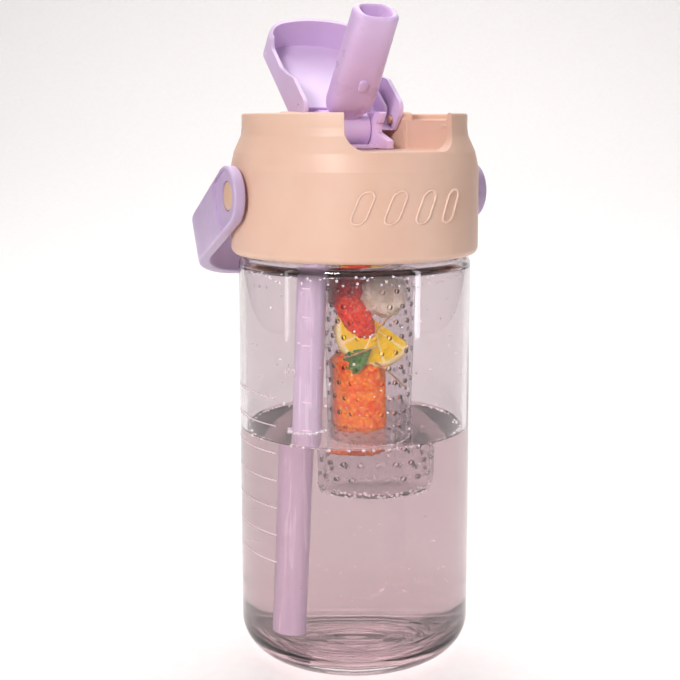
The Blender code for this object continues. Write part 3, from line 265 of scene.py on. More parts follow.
@dataclass(frozen=True)
class SatinPlastic:
    """Injection moulded polypropylene: coloured right through, a soft satin face from the spark-eroded mould.

    The eye sees broad soft highlights, a faint waxy depth and hardly any grain.
    """

    name: str
    colour: str
    shade: str
    roughness: float = 0.42
    grain: float = 0.35 * MM
    waxiness: float = 0.12
    edge: float = 0.35 * MM

    def material(self) -> Material:
        """Build the plastic with slow colour drift, a fine mould grain, soft edges and a little light inside.

        Returns:
            The material.
        """
        made, tree, shader = new_material(self.name)
        place = object_place(tree)
        drift = noise(tree, place, 22 * MM, 3.0)
        fine = noise(tree, place, self.grain, 4.0)
        rub = noise(tree, place, 7 * MM, 4.0)
        rounded_edge = add_node(tree, "ShaderNodeBevel", {"samples": 4, "Radius": self.edge}).outputs[0]
        grain = {"Strength": 0.35, "Distance": 0.02 * MM}
        values = {
            "Base Color": drifting(tree, drift, self.shade, self.colour),
            "Roughness": spread(tree, rub, self.roughness - 0.05, self.roughness + 0.06),
            "Normal": add_node(tree, "ShaderNodeBump", grain, Height=fine, Normal=rounded_edge).outputs[0],
            "IOR": PLASTIC_IOR,
            "Subsurface Weight": self.waxiness,
            "Subsurface Radius": (1.0, 0.6, 0.5),
            "Subsurface Scale": 1.6 * MM,
        }
        feed(tree, shader, values)
        return made


@dataclass(frozen=True)
class ClearPlastic:
    """Blow moulded copolyester: water clear, with soft waves where the hot wall set.

    The eye sees sharp glints, dark edges where the wall is thick and a slight bend of what lies behind.
    """

    name: str
    colour: str
    roughness: float = 0.025
    wave: float = 9 * MM
    depth: float = 0.10 * MM
    lets_in: str = "FBF9F9"
    ior: float = 1.54

    def material(self) -> Material:
        """Build the clear plastic with its slow waves.

        Returns:
            The material.
        """
        made, tree, shader = new_material(self.name)
        place = object_place(tree)
        stretched = add_node(tree, "ShaderNodeMapping", {"Scale": (1.0, 1.0, 0.25)}, Vector=place)
        waves = noise(tree, stretched.outputs[0], self.wave, 1.0)
        haze = noise(tree, place, 14 * MM, 3.0)
        values = {
            "Base Color": linear(self.colour),
            "Roughness": spread(tree, haze, self.roughness * 0.6, self.roughness * 1.6),
            "Normal": bump(tree, waves, self.depth, 0.6),
            "Transmission Weight": 1.0,
            "IOR": self.ior,
        }
        feed(tree, shader, values)
        let_lamps_in(tree, shader, self.lets_in)
        return made


@dataclass(frozen=True)
class Liquid:
    """Cool infused water: clear with a faint pink tint, partly the fruit's colour and partly a painted reflection of
    reddish surroundings. The eye sees it by its lens and its edge.
    """

    name: str = "infused_water"
    # Faint pink tint: partly the fruit's colour, partly a painted reflection of reddish surroundings.
    colour: str = "EADDDD"

    def material(self) -> Material:
        """Build the water with a barely moving surface.

        Returns:
            The material.
        """
        made, tree, shader = new_material(self.name)
        ripple = noise(tree, object_place(tree), 16 * MM, 1.0)
        values = {
            "Base Color": linear(self.colour),
            "Roughness": 0.0,
            "Normal": bump(tree, ripple, 0.12 * MM, 0.5),
            "Transmission Weight": 1.0,
            "IOR": WATER_IOR,
        }
        feed(tree, shader, values)
        let_lamps_in(tree, shader, "FBF6F6")
        return made


# Outlines and meshes.


def arc_steps(turn: float, radius: float, miss: float = 0.012 * MM) -> int:
    """Return how many straight steps follow an arc to within the given miss."""
    finest = 2 * math.acos(max(0.5, 1 - miss / radius))
    return max(2, math.ceil(abs(turn) / finest))


def filleted(corners: Sequence[Corner]) -> list[Point2]:
    """Round the corners of a closed outline.

    Args:
        corners: Each corner's place and the radius of its rounding.

    Returns:
        The outline's points in the same order.
    """
    outline: list[Point2] = []
    for index, (a, b, radius) in enumerate(corners):
        if radius <= 0:
            outline.append((a, b))
            continue
        corner = Vector((a, b))
        into = (Vector(corners[index - 1][:2]) - corner).normalized()
        out = (Vector(corners[(index + 1) % len(corners)][:2]) - corner).normalized()
        between = into.angle(out)
        centre = corner + (into + out).normalized() * radius / math.sin(between / 2)
        run = radius / math.tan(between / 2)
        first, last = corner + into * run - centre, corner + out * run - centre
        start = math.atan2(first.y, first.x)
        turn = (math.atan2(last.y, last.x) - start + math.pi) % TURN - math.pi
        steps = arc_steps(turn, radius)
        for step in range(steps + 1):
            angle = start + turn * step / steps
            outline.append((centre.x + radius * math.cos(angle), centre.y + radius * math.sin(angle)))
    return outline


def circle(radius: float, steps: int, centre: Point2 = (0.0, 0.0)) -> list[Point2]:
    """Return points round a circle."""
    turns = [TURN * step / steps for step in range(steps)]
    return [(centre[0] + radius * math.cos(turn), centre[1] + radius * math.sin(turn)) for turn in turns]


def in_mm(*corners: Corner) -> list[Corner]:
    """Return corners that are given in millimetres in metres."""
    return [(a * MM, b * MM, radius * MM) for a, b, radius in corners]


def box_outline(a_low: float, a_high: float, b_low: float, b_high: float, radius: float = 0.0) -> list[Point2]:
    """Return an upright rectangle with rounded corners."""
    places = ((a_low, b_low), (a_high, b_low), (a_high, b_high), (a_low, b_high))
    return filleted([(a, b, radius) for a, b in places])


def linked(name: str, data: bpy.types.ID) -> Piece:
    """Make an object of a mesh, curve, lamp or camera and put it in the scene.

    Args:
        name: Name of the object.
        data: The mesh, curve, lamp or camera.

    Returns:
        The object.
    """
    made = bpy.data.objects.new(name, data)
    bpy.context.scene.collection.objects.link(made)
    return made


def from_data(name: str, points: Sequence[Point3], faces: Sequence[Sequence[int]]) -> Piece:
    """Make a mesh object with merged doubles and outward faces.

    Args:
        name: Name of the object.
        points: Its points.
        faces: The point numbers of each face.

    Returns:
        The object, in the scene.
    """
    mesh = bpy.data.meshes.new(name)
    mesh.from_pydata([tuple(point) for point in points], [], [list(face) for face in faces])
    work = bmesh.new()
    work.from_mesh(mesh)
    bmesh.ops.remove_doubles(work, verts=work.verts, dist=WELD)
    bmesh.ops.recalc_face_normals(work, faces=work.faces)
    work.to_mesh(mesh)
    work.free()
    return linked(name, mesh)


def rows_to_faces(rows: Sequence[Sequence[int]], closed: bool) -> list[list[int]]:
    """Join rows of point numbers with quads, or triangles where a row is one point.

    Args:
        rows: Equally long rows of point numbers.
        closed: Whether the last row joins the first.

    Returns:
        The point numbers of each face.
    """
    faces = []
    count = len(rows[0])
    last = len(rows) if closed else len(rows) - 1
    for index in range(last):
        row, following = rows[index], rows[(index + 1) % len(rows)]
        for step in range(count):
            other = (step + 1) % count
            corners = list(dict.fromkeys([row[step], row[other], following[other], following[step]]))
            if len(corners) > 2:
                faces.append(corners)
    return faces


def lathe(
    name: str,
    outline: Sequence[Point2],
    steps: int,
    centre: Point2 = (0.0, 0.0),
    slope: float = 0.0,
    level: float = 0.0,
    closed: bool = True,
) -> Piece:
    """Turn an outline round an upright line.

    Args:
        name: Name of the object.
        outline: Radius and height of each point.
        steps: Number of steps round.
        centre: Where the line stands.
        slope: How far the line leans along X for each metre of height.
        level: Height at which the leaning line passes the centre.
        closed: Whether the outline's last point joins its first.

    Returns:
        The body, or the open surface of an outline that isn't closed.
    """
    points: list[Point3] = []
    rows = []
    for radius, height in outline:
        shift = slope * (height - level)
        ring = circle(radius, steps, centre) if radius > ON_AXIS else [centre]
        start = len(points)
        points += [(a + shift, b, height) for a, b in ring]
        rows.append([start + (step if len(ring) > 1 else 0) for step in range(steps)])
    return from_data(name, points, rows_to_faces(rows, closed))


def prism(name: str, outline: Sequence[Point2], axis: Axis, low: float, high: float) -> Piece:
    """Draw a closed outline out along an axis between two places.

    Args:
        name: Name of the object.
        outline: Its closed outline.
        axis: Direction that it is drawn out along.
        low: One end.
        high: The other end.

    Returns:
        The closed body.
    """
    low, high = sorted((low, high))
    count = len(outline)
    points = [axis.point(a, b, run) for run in (low, high) for a, b in outline]
    rows = [list(range(count)), list(range(count, 2 * count))]
    return from_data(name, points, rows_to_faces(rows, closed=False) + [rows[0], rows[1]])


def loft(name: str, rings: Sequence[Sequence[Point3]]) -> Piece:
    """Skin rings with equal numbers of points and close both ends.

    Args:
        name: Name of the object.
        rings: The rings in order.

    Returns:
        The closed body.
    """
    count = len(rings[0])
    points = [point for ring in rings for point in ring]
    rows = [list(range(start, start + count)) for start in range(0, len(points), count)]
    return from_data(name, points, rows_to_faces(rows, closed=False) + [rows[0], rows[-1]])


def rod(name: str, radius: float, low: float, high: float, y: float = 0.0, z: float = 0.0) -> Piece:
    """Make a round rod along X, fine enough for a smooth edge."""
    return prism(name, circle(radius, ROD_STEPS, (y, z)), Axis.X, low, high)


def baked(obj: Piece) -> Piece:
    """Turn an object's modifiers into plain mesh.

    Args:
        obj: The object.

    Returns:
        The same object, with no modifier left.
    """
    graph = bpy.context.evaluated_depsgraph_get()
    mesh = bpy.data.meshes.new_from_object(obj.evaluated_get(graph))
    old = obj.data
    obj.modifiers.clear()
    obj.data = mesh
    mesh.name = obj.name
    if old.users == 0:
        bpy.data.meshes.remove(old)
    return obj


def combined(obj: Piece, others: Iterable[Piece], way: Cut) -> Piece:
    """Combine an object with others one after another and remove the others.

    Args:
        obj: The object that stays.
        others: Closed bodies.
        way: How they are combined.

    Returns:
        The object that stays.
    """
    for other in others:
        modifier = obj.modifiers.new(other.name, "BOOLEAN")
        modifier.operation = way.value
        modifier.solver = "EXACT"
        modifier.object = other
        baked(obj)
        bpy.data.objects.remove(other)
    return obj


def merged(name: str, parts: Sequence[Piece]) -> Piece:
    """Put the meshes of separate parts into one object, without joining their faces.

    Args:
        name: Name of the object.
        parts: The parts, which are removed.

    Returns:
        The new object.
    """
    work = bmesh.new()
    for part in parts:
        work.from_mesh(part.data)
        bpy.data.objects.remove(part)
    mesh = bpy.data.meshes.new(name)
    work.to_mesh(mesh)
    work.free()
    return linked(name, mesh)


def moved(obj: Piece, place: Vector, turn: float = 0.0) -> Piece:
    """Turn an object's mesh round X and move it, leaving the object at the origin."""
    obj.data.transform(Matrix.Translation(place) @ Matrix.Rotation(turn, 4, "X"))
    return obj


def softened(obj: Piece, width: float, segments: int = 2, limit: float = 40) -> Piece:
    """Round the sharp edges of a body a little.

    Args:
        obj: The body.
        width: Width of the rounding.
        segments: Number of its steps.
        limit: Edges that turn less than this, in degrees, are left.

    Returns:
        The same body.
    """
    modifier = obj.modifiers.new("softened", "BEVEL")
    modifier.width = width
    modifier.segments = segments
    modifier.limit_method = "ANGLE"
    modifier.angle_limit = math.radians(limit)
    modifier.use_clamp_overlap = False
    modifier.miter_outer = "MITER_SHARP"
    return baked(obj)


def finished(
    obj: Piece,
    material: Material,
    body: Body,
    nodes: Sequence[str] = (),
    angle: float = SMOOTH,
) -> Piece:
    """Dress a piece and tie it to its body.

    Args:
        obj: The piece, with its place in its mesh.
        material: Its finish.
        body: The body that it rides on.
        nodes: CAD nodes that it stands for.
        angle: Edges sharper than this stay sharp.

    Returns:
        The same piece.
    """
    mesh = obj.data
    mesh.materials.clear()
    mesh.materials.append(material)
    mesh.polygons.foreach_set("material_index", [0] * len(mesh.polygons))
    mesh.polygons.foreach_set("use_smooth", [True] * len(mesh.polygons))
    mesh.set_sharp_from_angle(angle=angle)
    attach(obj, body.value)
    if nodes:
        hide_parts(*nodes)
    LOG.info("%s: %d faces on %s", obj.name, len(mesh.polygons), body.value)
    return obj


# Patterns made by rule.


class Repeat:
    """Geometry Nodes tree, built node by node, whose result becomes one plain mesh."""

    def __init__(self, name: str) -> None:
        """Start an empty tree with a group output.

        Args:
            name: Name of the tree and of its mesh.
        """
        self.name = name
        self.tree = bpy.data.node_groups.new(name, "GeometryNodeTree")
        self.tree.interface.new_socket("Geometry", in_out="OUTPUT", socket_type="NodeSocketGeometry")
        self.inlet = self.tree.nodes.new("NodeGroupInput")
        self.values: dict[str, object] = {}

    def given(self, label: str, value: object, kind: str = "NodeSocketFloat") -> Socket:
        """Add a named input with its value and return its socket.

        Args:
            label: Name of the input.
            value: Its value.
            kind: Blender's name of its type.

        Returns:
            Its socket.
        """
        socket = self.tree.interface.new_socket(label, in_out="INPUT", socket_type=kind)
        self.values[socket.identifier] = value
        return self.inlet.outputs[label]

    def surface(self) -> Socket:
        """Add the input that takes the mesh which the rule works on."""
        self.tree.interface.new_socket("Surface", in_out="INPUT", socket_type="NodeSocketGeometry")
        return self.inlet.outputs["Surface"]

    def add(self, kind: str, values: dict | None = None, **links: object) -> Socket:
        """Add a node and return its first output."""
        return add_node(self.tree, kind, values, **links).outputs[0]

    def sum(self, way: str, a: object, b: object = 0.0) -> Socket:
        """Return the result of one piece of arithmetic on sockets or numbers."""
        return reckon(self.tree, way, a, b)

    def mesh(
        self,
        geometry: Socket,
        material: Material,
        base: Piece | None = None,
    ) -> Piece:
        """Realize the instances, set their material and return a plain mesh object.

        Args:
            geometry: The instances.
            material: What they are made of.
            base: Object whose mesh the rule works on, and which becomes the result.

        Returns:
            The mesh, with no modifier left.
        """
        real = self.add("GeometryNodeRealizeInstances", Geometry=geometry)
        paint = self.given("Material", material, "NodeSocketMaterial")
        dressed = self.add("GeometryNodeSetMaterial", Geometry=real, Material=paint)
        add_node(self.tree, "NodeGroupOutput", Geometry=dressed)
        made = base or linked(self.name, bpy.data.meshes.new(self.name))
        modifier = made.modifiers.new(self.name, "NODES")
        modifier.node_group = self.tree
        for identifier, value in self.values.items():
            modifier[identifier] = value
        return baked(made)


def hole_field(cup: "InfuserCup") -> Piece:
    """Make the cutters of a cup's wall holes: rows of short rods that point outward, each turned half a step.

    Args:
        cup: The cup, which gives the rows, columns, pitch and size of the holes.

    Returns:
        All cutters in one mesh.
    """
    rule = Repeat("cup_holes")
    columns = rule.given("Columns", float(cup.columns))
    index = rule.add("GeometryNodeInputIndex")
    row = rule.sum("FLOOR", rule.sum("DIVIDE", index, columns))
    shift = rule.sum("MULTIPLY", rule.sum("MODULO", row, 2.0), 0.5)
    place = rule.sum("ADD", rule.sum("MODULO", index, columns), shift)
    turn = rule.sum("DIVIDE", rule.sum("MULTIPLY", place, TURN), columns)
    first = rule.given("First row", cup.first_row)
    height = rule.sum("ADD", first, rule.sum("MULTIPLY", row, rule.given("Pitch", cup.pitch)))
    reach = rule.given("Reach", (cup.foot + cup.rim) / 2 - cup.wall / 2)
    x = rule.sum("ADD", rule.sum("MULTIPLY", rule.sum("COSINE", turn), reach), cup.place[0])
    y = rule.sum("ADD", rule.sum("MULTIPLY", rule.sum("SINE", turn), reach), cup.place[1])
    at = rule.add("ShaderNodeCombineXYZ", i0=x, i1=y, i2=height)
    count = rule.given("Count", cup.rows * cup.columns, "NodeSocketInt")
    points = rule.add("GeometryNodePoints", Count=count, Position=at)
    facing = rule.add("ShaderNodeCombineXYZ", {0: math.pi / 2}, i2=rule.sum("ADD", turn, math.pi / 2))
    drill = rule.add("GeometryNodeMeshCylinder", {"Vertices": 14, "Depth": 8 * MM}, Radius=rule.given("Hole", cup.hole))
    holes = rule.add("GeometryNodeInstanceOnPoints", Points=points, Instance=drill, Rotation=facing)
    return rule.mesh(holes, cup.finish.material())


def scattered(base: Piece, count: int, sizes: Point2, flat: float, seed: int, material: Material) -> Piece:
    """Scatter drops over a surface.

    Args:
        base: The surface, which the drops take the place of.
        count: About how many drops there are.
        sizes: Smallest and largest radius.
        flat: Height of a drop as a share of its radius.
        seed: Chooses their places.
        material: What they are made of.

    Returns:
        The drops as one mesh.
    """
    area = sum(face.area for face in base.data.polygons)
    rule = Repeat(base.name)
    surface = rule.surface()
    density, start = rule.given("Density", count / area), rule.given("Seed", seed, "NodeSocketInt")
    spots = add_node(
        rule.tree, "GeometryNodeDistributePointsOnFaces", None, Mesh=surface, Density=density, Seed=start
    ).outputs
    smallest, largest = rule.given("Smallest", sizes[0]), rule.given("Largest", sizes[1])
    size = add_node(
        rule.tree, "FunctionNodeRandomValue", {"data_type": "FLOAT"}, i2=smallest, i3=largest
    ).outputs[1]
    tall = rule.sum("MULTIPLY", size, rule.given("Flatness", flat))
    scale = rule.add("ShaderNodeCombineXYZ", i0=size, i1=size, i2=tall)
    drop = rule.add("GeometryNodeMeshUVSphere", {"Segments": 12, "Rings": 7, "Radius": 1.0})
    links = {"Points": spots["Points"], "Rotation": spots["Rotation"], "Scale": scale}
    drops = rule.add("GeometryNodeInstanceOnPoints", Instance=drop, **links)
    return rule.mesh(drops, material, base)


# The bottle itself.


@dataclass
class BottleBody:
    """Clear thick-walled body with a rounded foot, a short neck and one turn and a half of thread."""

    radius: float = 42.0 * MM
    wall: float = 2.4 * MM
    foot_round: float = 12.0 * MM
    base: float = 6.0 * MM
    neck: float = 36.2 * MM
    neck_inner: float = 34.0 * MM
    mouth: float = 163.0 * MM
    shoulder: float = 145.2 * MM
    neck_foot: float = 146.2 * MM
    inner_shoulder: float = 142.5 * MM
    inner_neck_foot: float = 147.5 * MM
    thread_start: float = 150.8 * MM
    groove: tuple[float, float, float, float] = (12.0 * MM, 26.0 * MM, 0.8 * MM, 1.5 * MM)
    ring_steps: int = 176
    # The wall's grey-mauve tint is painted shade: it darkens what is seen through the wall, standing in for dark
    # surroundings.
    finish: ClearPlastic = ClearPlastic("clear_copolyester_painted_shade_tint", "E4DCDF")

    def outline(self) -> list[Point2]:
        """Return the wall from the middle of the foot up the outside and down the inside.

        Returns:
            The radius and height of each point.
        """
        low, high, deep, slope = self.groove
        inner = self.radius - self.wall
        floor = self.base
        return filleted(
            [
                (0, 0.9 * MM, 0),
                (low - 5.0 * MM, 0.6 * MM, 2 * MM),
                (low, 0, 0.6 * MM),
                (low + slope, deep, 0.5 * MM),
                *self.ripples(15.6 * MM, 22.4 * MM, 3, deep, -0.4 * MM),
                (high - slope, deep, 0.5 * MM),
                (high, 0, 0.6 * MM),
                (self.radius, 0, self.foot_round),
                (self.radius, self.shoulder, 2.5 * MM),
                (self.neck, self.neck_foot, 0.5 * MM),
                (self.neck, self.mouth, 0.8 * MM),
                (self.neck_inner, self.mouth, 0.8 * MM),
                (self.neck_inner, self.inner_neck_foot, 2.5 * MM),
                (inner, self.inner_shoulder, 2.5 * MM),
                (inner, floor, 9.0 * MM),
                (24 * MM, floor, 0.3 * MM),
                (23.4 * MM, floor + 0.35 * MM, 0.3 * MM),
                (20.6 * MM, floor + 0.35 * MM, 0.3 * MM),
                (20.0 * MM, floor, 0.3 * MM),
                *reversed(self.ripples(9.0 * MM, 17.0 * MM, 2, floor - 0.1 * MM, 0.3 * MM)),
                (4.0 * MM, floor - 0.1 * MM, 2 * MM),
                (0, floor + 0.5 * MM, 0),
            ]
        )

    def ripples(self, low: float, high: float, count: int, level: float, rise: float) -> list[Corner]:
        """Return low round ridges, evenly spaced from the middle of the base outward.

        Args:
            low: Radius of the first ridge.
            high: Radius of the last one.
            count: Number of ridges.
            level: Height that they stand on.
            rise: How far they stand up.

        Returns:
            The corners of their outline.
        """
        points: list[Corner] = []
        for index in range(count):
            middle = low + (high - low) * index / (count - 1)
            for out, up in ((-0.9, 0), (-0.3, rise), (0.3, rise), (0.9, 0)):
                points.append((middle + out * MM, level + up, 0.25 * MM))
        return points

    def thread(self, ridge: float = 0.9 * MM, pitch: float = 4.2 * MM, turns: float = 1.5) -> Piece:
        """Make the rounded thread that stands on the neck and fades at both ends.

        Args:
            ridge: How far it stands out.
            pitch: How far it climbs in one turn.
            turns: How far it goes round.

        Returns:
            The closed thread.
        """
        count = 110
        root = -0.5 * MM
        section = ((root, -1.3), (0.0, -1.1), (0.72, -0.55), (1.0, 0.0), (0.72, 0.45), (0.0, 0.8), (root, 0.9))
        rings = []
        for step in range(count + 1):
            turn = TURN * turns * step / count
            fade = min(1.0, 8 * step / count, 8 * (count - step) / count)
            height = self.thread_start + pitch * turn / TURN
            tall = max(0.05, fade) * ridge
            ring = []
            for out, up in section:
                reach = self.neck + (out if out < 0 else out * tall)
                ring.append((reach * math.cos(turn), reach * math.sin(turn), height + up * MM * (0.3 + 0.7 * fade)))
            rings.append(ring)
        return loft("neck_thread", rings)

    def build(self) -> list[Piece]:
        """Build the body with its thread.

        Returns:
            The body in a list.
        """
        body = lathe("bottle_shell", self.outline(), self.ring_steps)
        combined(body, [self.thread()], Cut.JOIN)
        return [finished(body, self.finish.material(), Body.BOTTLE, ["bottle_body"])]


@dataclass
class Drink:
    """Water that stands in the bottle and wets its wall, so that no air gap shines between them."""

    level: float = 83.0 * MM
    wets: float = 0.4 * MM
    climbs: float = 0.9 * MM
    steps: int = 144
    bottle: BottleBody = field(default_factory=BottleBody)
    finish: Liquid = Liquid()

    def build(self) -> list[Piece]:
        """Build the water with the small rise at its edge.

        Returns:
            The pieces, finished and tied to their bodies.
        """
        reach = self.bottle.radius - self.bottle.wall
        floor = self.bottle.base - self.wets
        outline = [
            (0, floor, 0),
            (reach + self.wets, floor, 9.0 * MM),
            (reach + self.wets, self.level + self.climbs, 0),
            (reach - 0.1 * MM, self.level + self.climbs, 0),
            (reach - 0.9 * MM, self.level + 0.2 * MM, 0.8 * MM),
            (reach - 3.0 * MM, self.level, 2.0 * MM),
            (0, self.level, 0),
        ]
        water = lathe("drink", filleted(outline), self.steps)
        return [finished(water, self.finish.material(), Body.BOTTLE)]


@dataclass(frozen=True)
class DropWater:
    """Drops and small bubbles: sharp, half clear and half diffuse white, a painted paleness that stands in for the
    light they catch. The eye sees a dark rim and one bright point in each.
    """

    name: str = "water_drops_painted_pale"

    def material(self) -> Material:
        """Build the water of the drops.

        Returns:
            The material.
        """
        made, tree, shader = new_material(self.name)
        skin = noise(tree, object_place(tree), 2 * MM, 1.0)
        values = {
            # Half diffuse white: a painted paleness standing in for the light the drops catch.
            "Base Color": linear("FAF8FA"),
            "Roughness": spread(tree, skin, 0.0, 0.03),
            "Transmission Weight": 0.5,
            "IOR": 1.24,
        }
        feed(tree, shader, values)
        let_lamps_in(tree, shader, "FFFFFF")
        return made


@dataclass(frozen=True)
class DropGroup:
    """Drops on one band round a middle: where it is, how many they are, and how big (in mm) and flat."""

    name: str
    body: Body
    reach: Point2
    heights: Point2
    count: int
    sizes: Point2
    flat: float
    centre: Point2 = (0.0, 0.0)

    def build(self, seed: int, material: Material) -> Piece:
        """Scatter the drops over an open band and finish them.

        Args:
            seed: Chooses the places of the drops.
            material: What they are made of.

        Returns:
            The drops, tied to their body.
        """
        band = lathe(self.name, list(zip(self.reach, self.heights)), ROD_STEPS, self.centre, closed=False)
        sizes = (self.sizes[0] * MM, self.sizes[1] * MM)
        return finished(scattered(band, self.count, sizes, self.flat, seed, material), material, self.body)


@dataclass
class Drops:
    """Drops on the cup, on the wall above the water and at its edge, with a few bubbles below."""

    cup: "InfuserCup"
    straw: "Straw"
    bottle: BottleBody = field(default_factory=BottleBody)
    finish: DropWater = DropWater()

    def build(self) -> list[Piece]:
        """Build every group of drops, each with the next seed.

        Returns:
            The pieces, finished and tied to their bodies.
        """
        cup, wall = self.cup, self.bottle.radius - self.bottle.wall - 0.1 * MM
        low, high, level = 64 * MM, 140 * MM, Drink().level
        at_surface = (self.straw.place[0] + self.straw.lean * (level - self.straw.top), self.straw.place[1])
        side, foot = (cup.radius_at(low), cup.radius_at(high)), (cup.foot - 0.6 * MM, cup.foot + 0.2 * MM)
        neck, edge, deep = (wall, wall - 1.2 * MM), (wall - 0.2 * MM, wall - 1.4 * MM), (wall - 1 * MM, wall - 0.2 * MM)
        on_wall, on_neck = (88 * MM, 141 * MM), (139 * MM, 142.5 * MM)
        at_edge, at_straw = (level, level + 0.3 * MM), (level, level + 0.1 * MM)
        groups = [
            DropGroup("drops_on_cup", Body.INFUSER, side, (low, high), 70, (0.2, 0.55), 0.55, cup.place),
            DropGroup("drops_under_cup", Body.INFUSER, foot, (59.2 * MM, 62 * MM), 120, (0.3, 0.65), 0.7, cup.place),
            DropGroup("drops_on_wall", Body.BOTTLE, (wall, wall), on_wall, 110, (0.2, 0.55), 0.5),
            DropGroup("drops_by_neck", Body.BOTTLE, neck, on_neck, 120, (0.3, 0.6), 0.6),
            DropGroup("bubbles_at_edge", Body.BOTTLE, edge, at_edge, 90, (0.3, 0.7), 0.8),
            DropGroup("bubbles_at_straw", Body.LID, (5.6 * MM, 6.8 * MM), at_straw, 34, (0.4, 0.9), 0.9, at_surface),
            DropGroup("bubbles_low", Body.BOTTLE, deep, (30 * MM, 44 * MM), 110, (0.12, 0.35), 1.0),
        ]
        material = self.finish.material()
        return [group.build(seed, material) for seed, group in enumerate(groups, 3)]


@dataclass
class ScaleMarks:
    """Pale printed scale: long arcs, short ticks and a plain number wrapped on the wall."""

    radius: float = 42.04 * MM
    ink: float = 0.05 * MM
    lowest: float = 41.3 * MM
    step: float = 9.7 * MM
    long_marks: int = 7
    marks: int = 11
    number: int = 7
    finish: SatinPlastic = SatinPlastic("scale_ink_screen_printed", "F1D9E2", "E6CBD6", 0.6, 0.2 * MM, 0.0)

    def strip(self, name: str, middle: float, half_turn: float, height: float, thick: float) -> Piece:
        """Make one curved mark.

        Args:
            name: Name of the object.
            middle: Where its middle stands round the wall, in degrees from the front.
            half_turn: Half its length, in degrees.
            height: Height of its middle.
            thick: Its width up the wall.

        Returns:
            The closed mark.
        """
        count = max(3, round(half_turn))
        rings = []
        for index in range(count + 1):
            turn = math.radians(middle - half_turn + 2 * half_turn * index / count)
            ring = []
            for radius, up in ((0, -0.5), (self.ink, -0.5), (self.ink, 0.5), (0, 0.5)):
                reach = self.radius + radius
                ring.append((reach * math.sin(turn), -reach * math.cos(turn), height + up * thick))
            rings.append(ring)
        return loft(name, rings)

    def numeral(self, text: str, middle: float, height: float, size: float = 3.6 * MM) -> Piece:
        """Wrap a plain number on the wall.

        Args:
            text: The number.
            middle: Where its middle stands round the wall, in degrees from the front.
            height: Height of its middle.
            size: Height of the letters.

        Returns:
            The wrapped number.
        """
        curve = bpy.data.curves.new("number", "FONT")
        curve.body = text
        curve.size = size
        curve.extrude = self.ink / 2
        curve.align_x, curve.align_y = "CENTER", "CENTER"
        made = linked(f"scale_number_{text}", curve)
        mesh = bpy.data.meshes.new_from_object(made.evaluated_get(bpy.context.evaluated_depsgraph_get()))
        bpy.data.objects.remove(made)
        for vertex in mesh.vertices:
            turn = math.radians(middle) + vertex.co.x / self.radius
            reach = self.radius + self.ink / 2 + vertex.co.z
            vertex.co = (reach * math.sin(turn), -reach * math.cos(turn), height + vertex.co.y)
        return linked(f"scale_number_{text}", mesh)

    def build(self) -> list[Piece]:
        """Build the whole scale as one printed piece.

        Returns:
            The pieces, finished and tied to their bodies.
        """
        marks = []
        for index in range(self.marks):
            height = self.lowest + self.step * index
            if index < self.long_marks:
                marks.append(self.strip(f"long_mark_{index}", -88.5, 23.5, height, 0.4 * MM))
            if index >= self.long_marks - 2 and index != self.number:
                marks.append(self.strip(f"short_mark_{index}", -47.6, 2.0, height, 0.45 * MM))
        marks.append(self.numeral("400", -57, self.lowest + self.step * self.number))
        return [finished(merged("scale", marks), self.finish.material(), Body.BOTTLE)]


# The lid and what is fixed to it.


